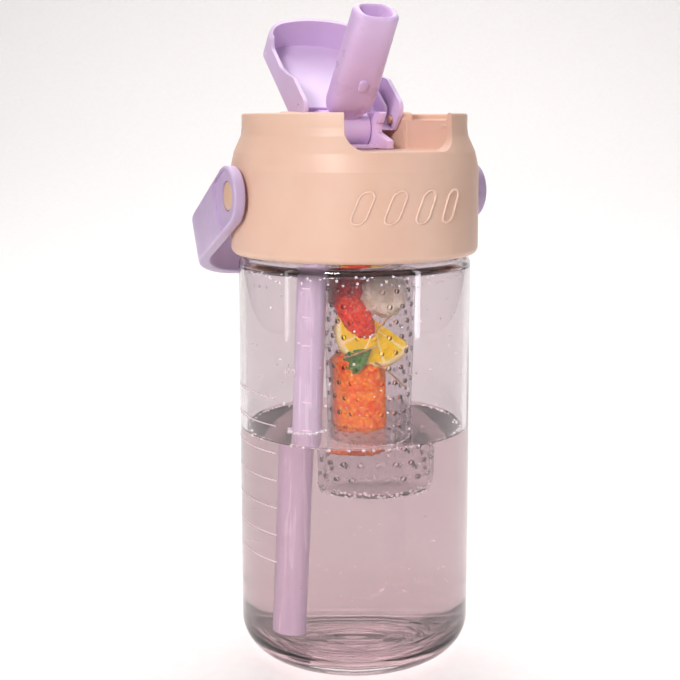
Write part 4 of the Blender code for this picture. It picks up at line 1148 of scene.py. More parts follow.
@dataclass
class LidShell:
    """Screw lid: a tall band, a neck that curves in to the rim, and a channel that takes spout and cover."""

    bottom: float = 146.6 * MM
    band: float = 44.6 * MM
    band_inner: float = 41.4 * MM
    rim: float = 40.4 * MM
    rim_inner: float = 37.8 * MM
    rim_top: float = 196.5 * MM
    deck: float = 194.0 * MM
    deck_under: float = 181.5 * MM
    channel: float = 20.0 * MM
    floor: float = 183.5 * MM
    channel_rear: float = 20.2 * MM
    pocket_start: float = 22.2 * MM
    pocket_reach: float = 35.8 * MM
    hinge: Point2 = COVER_HINGE
    steps: int = 192
    finish: SatinPlastic = SatinPlastic("peach_polypropylene_satin_mould", "E2BFAA", "DDB6A0")

    def outline(self) -> list[Point2]:
        """Return skirt, band, curved neck, rim and a closed deck.

        Returns:
            The radius and height of each point.
        """
        return filleted(
            [
                (self.band_inner, self.bottom, 0.4 * MM),
                (self.band, self.bottom, 2.6 * MM),
                *in_mm((44.6, 177.0, 2), (43.3, 183.0, 4), (40.7, 188.8, 4)),
                (self.rim, 191.5 * MM, 3 * MM),
                (self.rim, self.rim_top, 0.9 * MM),
                (self.rim_inner, self.rim_top, 0.9 * MM),
                (self.rim_inner, self.deck, 1.0 * MM),
                (0, self.deck, 0),
                (0, self.deck_under, 0),
                (38.2 * MM, self.deck_under, 0),
                (self.band_inner, 176.5 * MM, 0),
            ]
        )

    def channel_cutters(self) -> list[Piece]:
        """Return the channel, with its round lower corners where it breaks through the rim.

        Returns:
            The closed bodies that are cut away.
        """
        top, breaks_out = 200 * MM, -32.5 * MM
        runs = (
            ("channel", 1 * MM, breaks_out, self.channel_rear),
            ("cut_out", 6.5 * MM, -46 * MM, breaks_out + 0.3 * MM),
        )
        made = []
        for name, corner, front, rear in runs:
            low = [(-self.channel, self.floor, corner), (self.channel, self.floor, corner)]
            outline = filleted([*low, (self.channel, top, 0), (-self.channel, top, 0)])
            made.append(prism(name, outline, Axis.Y, front, rear))
        return made

    def additions(self) -> list[Piece]:
        """Return the lugs beside the channel, the upright ribs and the small snap nubs.

        Returns:
            The closed bodies that are joined on.
        """
        lug = filleted(in_mm((1.6, 193.5, 0), (12.3, 193.5, 0), (12.3, 197.1, 2.2), (1.6, 197.1, 2.2)))
        rib = box_outline(-2.4 * MM, 0.6 * MM, 183.3 * MM, 193.5 * MM)
        snap = box_outline(-31 * MM, -28 * MM, 191.4 * MM, 192.6 * MM, 0.5 * MM)
        behind, proud = self.channel + 0.5 * MM, self.channel - 0.25 * MM
        made = []
        for side in (-1, 1):
            block = prism(f"lug_{side}", lug, Axis.X, side * self.channel, side * (self.channel + 4.6 * MM))
            made.append(softened(block, 0.5 * MM, 3))
            made.append(prism(f"rib_{side}", rib, Axis.X, side * (self.channel - 0.3 * MM), side * behind))
            made.append(prism(f"snap_{side}", snap, Axis.X, side * proud, side * behind))
        return made

    def small_cutters(self) -> list[Piece]:
        """Return the seat's hole, the pin holes, the nub's recess and the hollows under the deck.

        Returns:
            The closed bodies that are cut away.
        """
        seat = box_outline(-12.8 * MM, 12.8 * MM, 4.9 * MM, 19.9 * MM)
        nub = box_outline(-2.5 * MM, 2.5 * MM, -14.4 * MM, -8.0 * MM, 1.2 * MM)
        under_deck, recess, above_floor = 178 * MM, 182.5 * MM, 184 * MM
        made = [
            prism("seat_hole", seat, Axis.Z, under_deck, above_floor),
            prism("nub_recess", nub, Axis.Z, recess, above_floor),
        ]
        reach = self.pocket_reach
        half = math.acos(self.pocket_start / reach)
        arc = [half * (step / 14 - 1) for step in range(29)]
        for side in (-1, 1):
            made.append(rod(f"cover_hole_{side}", COVER_PIN_BORE, side * 19.5 * MM, side * 22.7 * MM, *self.hinge))
            made.append(rod(f"handle_hole_{side}", HANDLE_PIN_BORE, side * 40 * MM, side * 46 * MM, z=HANDLE_AXIS))
            pocket = [(side * reach * math.cos(turn), reach * math.sin(turn)) for turn in arc]
            made.append(prism(f"pocket_{side}", pocket, Axis.Z, 180 * MM, 191.5 * MM))
        return made

    def build(self) -> list[Piece]:
        """Build the shell, with its parting edges broken as the mould breaks them.

        Returns:
            The shell in a list.
        """
        shell = lathe("lid_shell_fine", self.outline(), self.steps)
        combined(shell, self.channel_cutters(), Cut.AWAY)
        combined(shell, self.additions(), Cut.JOIN)
        combined(shell, self.small_cutters(), Cut.AWAY)
        return [finished(shell, self.finish.material(), Body.LID, ["lid_shell"], math.radians(30))]


@dataclass
class BandMarks:
    """Four slanted raised outlines, like tablets, on the front of the band."""

    radius: float = 44.6 * MM
    middle: float = 165.4 * MM
    tall: float = 11.6 * MM
    wide: float = 5.8 * MM
    line: float = 0.75 * MM
    rise: float = 0.55 * MM
    lean: float = 22.0
    places: tuple[float, ...] = (-21.5, -7.2, 7.2, 21.5)
    # The raised lines are a paler peach than the band: a painted highlight on the lines.
    finish: SatinPlastic = SatinPlastic("peach_polypropylene_raised_line_painted_highlight", "EDCDBB", "E8C4B1")

    def ring(self, wide: float, tall: float) -> list[Point2]:
        """Return a leaning oblong with round ends.

        Args:
            wide: Its width.
            tall: Its height.

        Returns:
            Its points across and up.
        """
        outline = box_outline(-wide / 2, wide / 2, -tall / 2, tall / 2, wide / 2 - 0.01 * MM)
        lean = math.tan(math.radians(self.lean))
        return [(across + lean * up, up) for across, up in outline]

    def mark(self, place: float) -> Piece:
        """Make one raised outline wrapped on the band.

        Args:
            place: Where it stands round the band, in degrees from the front.

        Returns:
            The closed outline.
        """
        sunk, low, step = -0.2 * MM, self.rise * 0.55, 0.22 * MM
        section = [(0, sunk), (0, low), (step, self.rise)]
        section += [(self.line - step, self.rise), (self.line, low), (self.line, sunk)]
        loops = []
        for inset, rise in section:
            outline = self.ring(self.wide - 2 * inset, self.tall - 2 * inset)
            loops.append([(across, up, rise) for across, up in outline])
        count = min(len(loop) for loop in loops)
        rows = []
        points = []
        for loop in loops:
            start = len(points)
            picked = [loop[round(index * len(loop) / count) % len(loop)] for index in range(count)]
            for across, up, rise in picked:
                turn = math.radians(place) + across / self.radius
                reach = self.radius + rise
                points.append((reach * math.sin(turn), -reach * math.cos(turn), self.middle + up))
            rows.append(list(range(start, start + count)))
        return from_data("band_mark", points, rows_to_faces(rows, closed=True))

    def build(self) -> list[Piece]:
        """Build the row of marks as one piece."""
        marks = merged("band_marks", [self.mark(place) for place in self.places])
        return [finished(marks, self.finish.material(), Body.LID)]


@dataclass
class FlipCover:
    """Flip cover, drawn closed round its hinge and then opened."""

    hinge: Point2 = COVER_HINGE
    opened: float = math.radians(140)
    rise: float = 3.85 * MM
    half: float = 19.6 * MM
    length: float = 48.5 * MM
    front: float = 40.6 * MM
    corner: float = 5.0 * MM
    rear: float = -3.8 * MM
    wall: float = 1.6 * MM
    top_wall: float = 2.0 * MM
    edge: float = 1.5 * MM
    skirt: float = 13.5 * MM
    skirt_corner: float = 6.1 * MM
    finish: SatinPlastic = SatinPlastic("lilac_polypropylene_satin_cover", "DDC6E6", "D4BADE", 0.38)

    def plan(self, inset: float, rear: float) -> list[Point2]:
        """Return the outline from above, with evenly counted points.

        Args:
            inset: How much smaller it is all round.
            rear: Where it ends behind the hinge.

        Returns:
            The outline across and along.
        """
        half, corner, radius = self.half - inset, self.corner - inset, self.front - inset
        centre = self.length - self.front
        small = math.sqrt((radius - corner) ** 2 - (half - corner) ** 2)
        tangent = math.atan2(half - corner, small)
        right = [(half, -rear)]
        for step in range(11):
            turn = math.pi / 2 + (tangent - math.pi / 2) * step / 10
            right.append((half - corner + corner * math.sin(turn), -(centre + small + corner * math.cos(turn))))
        for step in range(1, 13):
            turn = tangent * (1 - step / 12)
            right.append((radius * math.sin(turn), -(centre + radius * math.cos(turn))))
        return right + [(-across, along) for across, along in reversed(right[:-1])]

    def side(self) -> list[Point2]:
        """Return the outline seen from the side, forward and down from the hinge.

        Returns:
            The points along and up.
        """
        table = [(-3.8, 0, 3.6), (52, 0, 0), (52, 13.5, 0), (40.5, 13.5, 3), (36.5, 8.3, 3)]
        table += [(24, 8.3, 5), (17.2, 10.8, 3), (12.2, 13.2, 2.5), (-3.8, 13.2, 4)]
        return filleted([(-along * MM, self.rise - down * MM, radius * MM) for along, down, radius in table])

    def shell(self) -> Piece:
        """Make the outside with its rounded top edge, trimmed to the side outline.

        Returns:
            The closed body.
        """
        rings = []
        for step in range(8):
            turn = math.pi / 2 * step / 7
            inset, down = self.edge * (1 - math.sin(turn)), self.edge * (1 - math.cos(turn))
            rings.append([(x, y, self.rise - down) for x, y in self.plan(inset, self.rear)])
        rings.append([(x, y, self.rise - 13.7 * MM) for x, y in self.plan(0, self.rear)])
        made = loft("flip_cover", rings)
        return combined(made, [prism("cover_side", self.side(), Axis.X, -20 * MM, 20 * MM)], Cut.SHARED)

    def cutters(self) -> list[Piece]:
        """Return the hollow, the notch behind and the round front corners of the skirt.

        Returns:
            The closed bodies that are cut away.
        """
        low, ceiling = self.rise - 14 * MM, self.rise - self.top_wall
        made = [prism("cover_hollow", self.plan(self.wall, self.rear - 0.4 * MM), Axis.Z, low, ceiling)]
        notch = filleted(in_mm((-13, 4.2, 0), (13, 4.2, 0), (13, -9.2, 2), (-13, -9.2, 2)))
        made.append(prism("cover_notch", notch, Axis.Z, low, self.rise + 1 * MM))
        skirt_low = self.rise - self.skirt
        round_corner = self.skirt_corner
        for side in (-1, 1):
            edge, start = side * (self.half + 0.4 * MM), side * (self.half - round_corner)
            outline = [(edge, low - 1 * MM), (start, low - 1 * MM), (start, skirt_low)]
            for step in range(1, 17):
                turn = math.pi / 2 * step / 16
                rise = round_corner * (1 - math.cos(turn))
                outline.append((start + side * round_corner * math.sin(turn), skirt_low + rise))
            outline.append((edge, skirt_low + round_corner))
            made.append(prism(f"skirt_corner_{side}", outline, Axis.Y, -49 * MM, -38.5 * MM))
        return made

    def details(self) -> list[Piece]:
        """Return the inner ribs and the snap nubs.

        Returns:
            The closed bodies that are joined on.
        """
        deep, top = self.rise - 7.8 * MM, self.rise - 1 * MM
        front, rear = -16.5 * MM, -1.2 * MM
        rib = filleted([(rear, top, 0), (rear, deep, 2.5 * MM), (front, deep, 5 * MM), (front, top, 0)])
        nub = {"y": -39 * MM, "z": self.rise - 2.8 * MM}
        made = []
        for side in (-1, 1):
            made.append(prism(f"cover_rib_{side}", rib, Axis.X, side * 15.2 * MM, side * 16.4 * MM))
            made.append(rod(f"cover_nub_{side}", 1.1 * MM, side * 18.8 * MM, side * 19.8 * MM, **nub))
        return made

    def build(self) -> list[Piece]:
        """Build the cover and swing it open.

        Returns:
            The pieces, finished and tied to their bodies.
        """
        made = combined(self.shell(), self.cutters(), Cut.AWAY)
        combined(made, self.details(), Cut.JOIN)
        dimple = {"y": -2 * MM, "z": self.rise - 8.5 * MM}
        holes = []
        for side in (-1, 1):
            holes.append(rod(f"ear_hole_{side}", COVER_PIN_BORE, side * 17.6 * MM, side * 20 * MM))
            holes.append(rod(f"ear_dimple_{side}", 0.9 * MM, side * 18.9 * MM, side * 20 * MM, **dimple))
        combined(made, holes, Cut.AWAY)
        moved(made, Vector((0, *self.hinge)), -self.opened)
        return [finished(made, self.finish.material(), Body.COVER, ["cover"])]


@dataclass
class DrinkSpout:
    """Drinking spout: a flat oval tube on a drum with two short axles, raised from its folded place."""

    pivot: Point2 = SPOUT_PIVOT
    raised: float = math.radians(54.5)
    offset: float = 1.1 * MM
    length: float = 50.5 * MM
    mouth: tuple[float, float] = (8.2 * MM, 5.6 * MM)
    bore: tuple[float, float] = (5.5 * MM, 3.8 * MM)
    feed: float = 3.4 * MM
    lip: float = 1.6 * MM
    squareness: float = 2.9
    drum: tuple[float, float] = (6.8 * MM, 9.4 * MM)
    axle: tuple[float, float] = (2.4 * MM, 12.1 * MM)
    steps: int = 72
    finish: SatinPlastic = SatinPlastic("lilac_polypropylene_glossy_spout", "DFC3E8", "D5B7E0", 0.3)

    def ring(self, along: float, half: float, depth: float, offset: float) -> list[Point3]:
        """Return a rounded oval across the tube.

        Args:
            along: How far along the tube it is.
            half: Half its width.
            depth: Half its thickness.
            offset: How far its middle is off the axle's line.

        Returns:
            The points round it.
        """
        power = 2 / self.squareness
        points = []
        for step in range(self.steps):
            turn = TURN * step / self.steps
            across = math.copysign(abs(math.cos(turn)) ** power, math.cos(turn))
            down = math.copysign(abs(math.sin(turn)) ** power, math.sin(turn))
            points.append((half * across, -along, -offset + depth * down))
        return points

    def tube(self) -> Piece:
        """Make the outside of the tube with its round shoulder and round lip.

        Returns:
            The closed tube.
        """
        table = [(7.0, 6.0, 3.0), (8.2, 7.0, 3.6), (9.6, 7.8, 4.4)]
        table += [(11.2, 8.3, 5.1), (13.0, 8.6, 5.6), (16.5, 8.7, 5.8)]
        rings = [self.ring(0, 5.7 * MM, 2.9 * MM, 0)]
        for along, half, depth in table:
            rings.append(self.ring(along * MM, half * MM, depth * MM, self.offset * (along - 7.0) / 9.5))
        half, depth = self.mouth
        for step in range(9):
            turn = math.pi / 2 * step / 8
            inset, short = self.lip * (1 - math.cos(turn)), self.lip * (1 - math.sin(turn))
            rings.append(self.ring(self.length - short, half - inset, depth - inset, self.offset))
        return loft("drink_spout", rings)

    def build(self) -> list[Piece]:
        """Build the spout and raise it.

        Returns:
            The pieces, finished and tied to their bodies.
        """
        made = self.tube()
        drum = softened(rod("drum", self.drum[0], -self.drum[1], self.drum[1]), 0.5 * MM, 3)
        axle = softened(rod("axle", self.axle[0], -self.axle[1], self.axle[1]), 0.3 * MM, 2)
        nub = box_outline(-1.6 * MM, 1.6 * MM, -25.8 * MM, -21.2 * MM, 1.2 * MM)
        nub_block = softened(prism("nub", nub, Axis.Z, -7.8 * MM, -6.0 * MM), 0.35 * MM, 3)
        combined(made, [drum, axle, nub_block], Cut.JOIN)
        half, depth = self.bore
        inlet = (3.8 * MM, 2.1 * MM, 0)
        rings = [self.ring(-1.7 * MM, *inlet), self.ring(12 * MM, *inlet)]
        end = self.length
        widths = ((17 * MM, 0), (end - 0.9 * MM, 0), (end - 0.3 * MM, 0.25 * MM), (end + 0.2 * MM, 0.9 * MM))
        for along, wider in widths:
            rings.append(self.ring(along, half + wider, depth + wider, self.offset))
        combined(made, [loft("bore", rings)], Cut.AWAY)
        moved(made, Vector((0, 0, 0)), -self.raised)
        combined(made, [prism("feed", circle(self.feed, BORE_STEPS), Axis.Z, -7.2 * MM, 0)], Cut.AWAY)
        moved(made, Vector((0, *self.pivot)))
        return [finished(made, self.finish.material(), Body.SPOUT, ["spout"], math.radians(40))]


@dataclass
class SpoutSeat:
    """Lilac block with two cheeks that the spout's axles turn in."""

    pivot: Point2 = SPOUT_PIVOT
    half: float = 12.5 * MM
    inner: float = 9.8 * MM
    duct_bore: float = 4.2 * MM
    seal_bore: float = 5.9 * MM
    axle_bore: float = 2.8 * MM
    # The seat's lilac is a little paler than the cover's: painted light, as the seat sits in the channel's shade.
    finish: SatinPlastic = SatinPlastic("lilac_polypropylene_seat_painted_light", "E2C4E8", "D8B6DC")

    def cheek(self, side: int) -> Piece:
        """Make one cheek with soft edges.

        Args:
            side: -1 for the left one and 1 for the right one.

        Returns:
            The closed cheek.
        """
        table = [(18.6, 179.0, 0), (18.6, 197.1, 5.8), (-1.1, 197.1, 0.8), (0.8, 193.2, 0.6), (2.7, 192.7, 0.6)]
        table += [(2.7, 189.8, 0.6), (-6.7, 186.8, 0.8), (-6.7, 183.8, 0.4), (5.6, 183.8, 0), (5.6, 179.0, 0)]
        outline = filleted(in_mm(*table))
        made = prism(f"cheek_{side}", outline, Axis.X, side * self.inner, side * self.half)
        return softened(made, 0.3 * MM, 2)

    def build(self) -> list[Piece]:
        """Build the seat with its saddle and bores.

        Returns:
            The pieces, finished and tied to their bodies.
        """
        block = box_outline(-self.half, self.half, 5.2 * MM, 19.6 * MM, 0.3 * MM)
        made = prism("spout_seat_fine", block, Axis.Z, 178.5 * MM, 183.7 * MM)
        saddle = prism("saddle", box_outline(1.6 * MM, 4 * MM, 183.8 * MM, 185.3 * MM), Axis.X, -10.3 * MM, 10.3 * MM)
        softened(saddle, 0.25 * MM, 2)
        combined(made, [self.cheek(-1), self.cheek(1), saddle], Cut.JOIN)
        pivot_y, pivot_z = self.pivot
        bores = [
            prism("bore_low", circle(self.duct_bore, BORE_STEPS, (0, pivot_y)), Axis.Z, 178 * MM, 184.2 * MM),
            prism("bore_high", circle(self.seal_bore, BORE_STEPS, (0, pivot_y)), Axis.Z, 180.8 * MM, 184.2 * MM),
            rod("axle_bore", self.axle_bore, -13 * MM, 13 * MM, pivot_y, pivot_z),
        ]
        combined(made, bores, Cut.AWAY)
        return [finished(made, self.finish.material(), Body.LID, ["spout_seat"])]


# The handle, the straw and the infuser.


@dataclass
class BailHandle:
    """Bail handle: two round bosses, arms that taper and a strap round the back, with softly rounded edges."""

    pivot_z: float = HANDLE_AXIS
    hang: float = math.radians(27)
    inner: float = 45.3 * MM
    outer: float = 49.5 * MM
    boss: float = 10.5 * MM
    strap: float = 8.2 * MM
    reach: float = 57.5 * MM
    wall: float = 4.5 * MM
    corner: float = 23.0 * MM
    rim: float = 1.2 * MM
    panel: float = 12.0 * MM
    bead: float = 0.9 * MM
    bead_rise: float = 0.4 * MM
    cap: float = 5.3 * MM
    cap_deep: float = 2.7 * MM
    # The handle's lilac is darker and greyer than the cover's: painted shade, as the handle hangs in shadow.
    finish: SatinPlastic = SatinPlastic("lilac_polypropylene_handle_painted_shade", "C8B3D2", "BCA6C8", 0.36)

    def plan(self, inset: float) -> list[Point2]:
        """Return the outline from above with the arms level.

        Args:
            inset: How much smaller it is all round.

        Returns:
            The points across and along.
        """
        end = -self.boss - 1 * MM
        outer, inner = self.outer - inset, self.inner + inset
        far, near = self.reach - inset, self.reach - self.wall + inset
        arm = self.outer - self.inner
        corner, small = self.corner - inset, self.corner - arm + inset
        outside = [(outer, end, 0), (outer, far, corner), (-outer, far, corner), (-outer, end, 0)]
        return filleted([(inner, end, 0), *outside, (-inner, end, 0), (-inner, near, small), (inner, near, small)])

    def side(self, inset: float = 0.0) -> list[Point2]:
        """Return the outline from the side: a round boss and a taper to the strap.

        Args:
            inset: How much smaller it is all round.

        Returns:
            The points along and up.
        """
        far = self.reach + 1 * MM
        boss, strap = self.boss - inset, self.strap - inset
        first = math.pi / 2 - math.asin((boss - strap) / far)
        outline = [(far, -strap), (far, strap)]
        for step in range(49):
            turn = first + 2 * (math.pi - first) * step / 48
            outline.append((boss * math.cos(turn), boss * math.sin(turn)))
        return outline

    def build(self) -> list[Piece]:
        """Build the handle and let it down behind the bottle.

        Returns:
            The pieces, finished and tied to their bodies.
        """
        made = prism("bail_handle", self.plan(0), Axis.Z, -self.boss, self.boss)
        combined(made, [prism("handle_side", self.side(), Axis.X, -51 * MM, 51 * MM)], Cut.SHARED)
        softened(made, 0.9 * MM, 4, 50)
        cutters, beads = [], []
        inside, past = self.outer - 1 * MM, 1 * MM
        for side in (-1, 1):
            start, end = sorted((side * inside, side * (self.outer + past)))
            panel = prism(f"panel_{side}", self.side(self.rim), Axis.X, start, end)
            combined(panel, [rod(f"panel_end_{side}", self.panel, start - past, end + past)], Cut.SHARED)
            cutters.append(panel)
            low, high = sorted((side * inside, side * (self.outer + self.bead_rise)))
            bead = prism(f"bead_{side}", self.side(self.rim), Axis.X, low, high)
            outer_edge = rod(f"bead_end_{side}", self.panel + self.bead, low - past, high + past)
            combined(bead, [outer_edge], Cut.SHARED)
            combined(bead, [rod(f"bead_start_{side}", self.panel, low - past, high + past)], Cut.AWAY)
            beads.append(bead)
            far = side * (self.outer + past)
            cutters.append(rod(f"cap_{side}", self.cap, side * (self.outer - self.cap_deep), far))
            cutters.append(rod(f"pin_{side}", HANDLE_PIN_BORE, side * (self.inner - 0.4 * MM), far))
        combined(made, cutters, Cut.AWAY)
        combined(made, beads, Cut.JOIN)
        moved(made, Vector((0, 0, self.pivot_z)), -self.hang)
        return [finished(made, self.finish.material(), Body.HANDLE, ["handle"])]


@dataclass
class HandlePin:
    """Peach pin whose shallow domed cap sits in the round recess of the handle."""

    side: int
    name: str
    pivot_z: float = HANDLE_AXIS
    finish: SatinPlastic = SatinPlastic("peach_polypropylene_pin", "E0BDA2", "D6B094", 0.36)

    def build(self) -> list[Piece]:
        """Build the pin on its side of the lid.

        Returns:
            The pin in a list.
        """
        shank = ((0, 41.7, 0), (3.2, 41.7, 0.4), (3.2, 47.1, 0))
        cap = ((5.0, 47.1, 0.1), (5.0, 48.3, 0.4), (0, 48.5, 0))
        made = lathe(f"{self.name}_fine", filleted(in_mm(*shank, *cap)), ROD_STEPS)
        turned = Matrix.Rotation(self.side * math.pi / 2, 4, "Y")
        made.data.transform(Matrix.Translation((0, 0, self.pivot_z)) @ turned)
        return [finished(made, self.finish.material(), Body.LID, [self.name])]


@dataclass
class Straw:
    """Slightly see-through straw that leans outward to just above the base."""

    place: Point2 = (-17 * MM, -3 * MM)
    lean: float = 6.0 / 154.3
    radius: float = 5.3 * MM
    wall: float = 0.9 * MM
    bottom: float = 10.5 * MM
    top: float = 164.8 * MM

    def material(self) -> Material:
        """Extruded polypropylene, lilac and half see-through: the far wall shows as a soft darker edge.

        Returns:
            The material.
        """
        made, tree, shader = new_material("lilac_polypropylene_extruded_straw")
        place = object_place(tree)
        streaks = add_node(tree, "ShaderNodeMapping", {"Scale": (1.0, 1.0, 0.06)}, Vector=place)
        drawn = noise(tree, streaks.outputs[0], 2.2 * MM, 2.0)
        values = {
            "Base Color": drifting(tree, drawn, "D9C8DF", "E6D8EA"),
            "Roughness": spread(tree, drawn, 0.2, 0.3),
            "Transmission Weight": 0.15,
            "IOR": PLASTIC_IOR,
            "Subsurface Weight": 0.35,
            "Subsurface Radius": (1.0, 0.8, 0.9),
            "Subsurface Scale": 1.5 * MM,
        }
        feed(tree, shader, values)
        let_lamps_in(tree, shader, "8E7C92")
        return made

    def build(self) -> list[Piece]:
        """Build the straw with rounded ends.

        Returns:
            The straw in a list.
        """
        outline = box_outline(self.radius - self.wall, self.radius, self.bottom, self.top, 0.3 * MM)
        made = lathe("straw_fine", outline, 72, self.place, self.lean, self.top)
        return [finished(made, self.material(), Body.LID, ["straw"])]


@dataclass
class InfuserCup:
    """Tapered clear cup with rows of small holes, hung under the lid."""

    place: Point2 = (7.5 * MM, 3 * MM)
    bottom: float = 59 * MM
    top: float = 165.9 * MM
    foot: float = 15 * MM
    rim: float = 18.3 * MM
    wall: float = 1.2 * MM
    floor: float = 1.4 * MM
    hole: float = 0.9 * MM
    rows: int = 17
    columns: int = 18
    pitch: float = 5.6 * MM
    first_row: float = 66 * MM
    steps: int = 96
    # The cup is wet through, so its finish bends light less than the dry plastic does.
    finish: ClearPlastic = ClearPlastic("clear_copolyester_moulded_cup", "F4F0F1", 0.03, 6 * MM, 0.05 * MM, ior=1.4)

    def radius_at(self, height: float) -> float:
        """Return the outer radius at a height."""
        return self.foot + (self.rim - self.foot) * (height - self.bottom) / (self.top - self.bottom)

    def filling(self, name: str, gap: float, high: float) -> Piece:
        """Return what fills the inside of the cup.

        Args:
            name: Name of the body.
            gap: How far it keeps off the wall and the floor.
            high: Height that it ends at.

        Returns:
            The closed body.
        """
        low = self.bottom + self.floor + gap
        foot, top = [self.radius_at(height) - (self.wall + gap) for height in (low, high)]
        outline = filleted([(0, low, 0), (foot, low, 1.25 * MM), (top, high, 0.2 * MM), (0, high, 0)])
        return lathe(name, outline, self.steps, self.place)

    def build(self) -> list[Piece]:
        """Build the cup with its holes.

        Returns:
            The pieces, finished and tied to their bodies.
        """
        floor = self.bottom + self.floor
        inner_foot = self.foot - self.wall
        outline = filleted(
            [
                (0, self.bottom, 0),
                (self.foot - 3.2 * MM, self.bottom, 0.4 * MM),
                (self.foot, self.bottom + 0.3 * MM, 2.5 * MM),
                (self.rim, self.top, 0.4 * MM),
                (self.rim - self.wall, self.top, 0.4 * MM),
                (inner_foot, floor, 1.25 * MM),
                (0, floor, 0),
            ]
        )
        made = lathe("infuser_cup_fine", outline, self.steps, self.place)
        combined(made, [hole_field(self)], Cut.AWAY)
        return [finished(made, self.finish.material(), Body.INFUSER, ["infuser_cup"])]


# What is in the cup.

# A thin film of juice: a quiet sheen that doesn't wash out the colour under it.
WET_SKIN = {"Specular IOR Level": 0.25, "Coat Weight": 0.12}


@dataclass(frozen=True)
class Flesh:
    """Cut fruit: wet, part see-through flesh with pulp that shows as grain, and pale flecks painted on as glints."""

    name: str
    colour: str
    dark: str
    grain: float = 1.6 * MM
    depth: float = 0.5 * MM
    roughness: float = 0.22
    # Colour of the pale flecks painted on the pulp as glints.
    painted_glint: str = "FFC489"

    def material(self) -> Material:
        """Build the flesh with cells of pulp, and pale flecks painted on as glints.

        Returns:
            The material.
        """
        made, tree, shader = new_material(self.name)
        place = object_place(tree)
        cells = add_node(tree, "ShaderNodeTexVoronoi", {"Scale": 1 / self.grain}, Vector=place)
        patches = noise(tree, place, 7 * MM, 3.0)
        mixed = reckon(tree, "MULTIPLY", cells.outputs["Distance"], patches)
        ground = mix(tree, spread(tree, mixed, 0, 1, 0.05, 0.42), self.colour, self.dark)
        # Pale flecks in the glint colour: painted glints on the pulp.
        painted_glint = spread(tree, noise(tree, place, 0.9 * MM, 2.0), 0, 0.8, 0.6, 0.72)
        values = {
            "Base Color": mix(tree, painted_glint, ground, self.painted_glint),
            "Roughness": self.roughness,
            "Normal": bump(tree, cells.outputs["Distance"], self.depth, 0.9),
            "Subsurface Weight": 0.35,
            "Subsurface Radius": (1.0, 0.6, 0.3),
            "Subsurface Scale": 2.5 * MM,
            **WET_SKIN,
        }
        feed(tree, shader, values)
        return made


@dataclass(frozen=True)
class SliceFlesh:
    """Slice of citrus: wet segments between pale walls, a white pith ring and a thin coloured rind."""

    name: str
    flesh: str
    pith: str
    rind: str
    radius: float
    segments: int = 9

    def material(self) -> Material:
        """Build the slice from its stored local coordinates: spokes for the segments, rings for pith and rind.

        Returns:
            The material.
        """
        made, tree, shader = new_material(self.name)
        local = add_node(tree, "ShaderNodeAttribute", {"attribute_name": "local"}).outputs["Vector"]
        parts = add_node(tree, "ShaderNodeSeparateXYZ", None, Vector=local)
        turn = reckon(tree, "ARCTAN2", parts.outputs[1], parts.outputs[0])
        walls = reckon(tree, "ABSOLUTE", reckon(tree, "SINE", reckon(tree, "MULTIPLY", turn, self.segments / 2)))
        flat = add_node(tree, "ShaderNodeVectorMath", {"operation": "MULTIPLY", 1: (1, 1, 0)}, i0=local).outputs[0]
        reach = add_node(tree, "ShaderNodeVectorMath", {"operation": "LENGTH"}, i0=flat).outputs["Value"]
        inside = mix(tree, spread(tree, walls, 0, 1, 0.05, 0.3), self.pith, self.flesh)
        ring = spread(tree, reach, 0, 1, self.radius * 0.84, self.radius * 0.9)
        edge = spread(tree, reach, 0, 1, self.radius * 0.94, self.radius * 0.98)
        pulp = add_node(tree, "ShaderNodeTexVoronoi", {"Scale": 1 / (1.3 * MM)}, Vector=object_place(tree))
        values = {
            "Base Color": mix(tree, edge, mix(tree, ring, inside, self.pith), self.rind),
            "Roughness": 0.2,
            "Normal": bump(tree, pulp.outputs["Distance"], 0.3 * MM, 0.8),
            "Subsurface Weight": 0.3,
            "Subsurface Scale": 2 * MM,
            **WET_SKIN,
        }
        feed(tree, shader, values)
        return made


def lump(
    name: str, half: Point3, power: float, rough: float, seed: float, grain: float = 0.0, steps: int = 64
) -> Piece:
    """Make a rounded block with an uneven skin, in millimetres.

    Args:
        name: Name of the object.
        half: Half its size each way.
        power: 1 gives an egg and less gives a box with round edges.
        rough: How far the skin rises and falls.
        seed: Chooses the unevenness.
        grain: How far the pulp stands up.
        steps: Number of steps round.

    Returns:
        The closed body round the origin.
    """
    points: list[Point3] = []
    rows = []
    half, rough, grain = [size * MM for size in half], rough * MM, grain * MM
    coarse, fine, pulp_size = 3.1, 8, 1.4 * MM
    for level in range(steps // 2 + 1):
        tilt = math.pi * level / (steps // 2) - math.pi / 2
        count = 1 if level in (0, steps // 2) else steps
        start = len(points)
        for step in range(count):
            turn = TURN * step / steps
            way = Vector((math.cos(tilt) * math.cos(turn), math.cos(tilt) * math.sin(turn), math.sin(tilt)))
            shaped = Vector([math.copysign(abs(part) ** power, part) * size for part, size in zip(way, half)])
            lift = mathutils_noise.noise(way * coarse + Vector((seed, 0, 0)))
            lift += 0.5 * mathutils_noise.noise(way * fine + Vector((0, seed, 0)))
            pulp = mathutils_noise.noise(shaped / pulp_size + Vector((seed, seed, 0)))
            points.append(tuple(shaped + way * (rough * lift + grain * pulp)))
        rows.append([start + (step if count > 1 else 0) for step in range(steps)])
    return from_data(name, points, rows_to_faces(rows, closed=False))


def remember_places(obj: Piece, placed: Matrix) -> Piece:
    """Store where each point was before the piece was placed, for a pattern that goes with it.

    Args:
        obj: The piece.
        placed: How it was placed.

    Returns:
        The same piece.
    """
    back = placed.inverted()
    stored = obj.data.attributes.new("local", "FLOAT_VECTOR", "POINT")
    flat = [part for vertex in obj.data.vertices for part in back @ vertex.co]
    stored.data.foreach_set("vector", flat)
    return obj


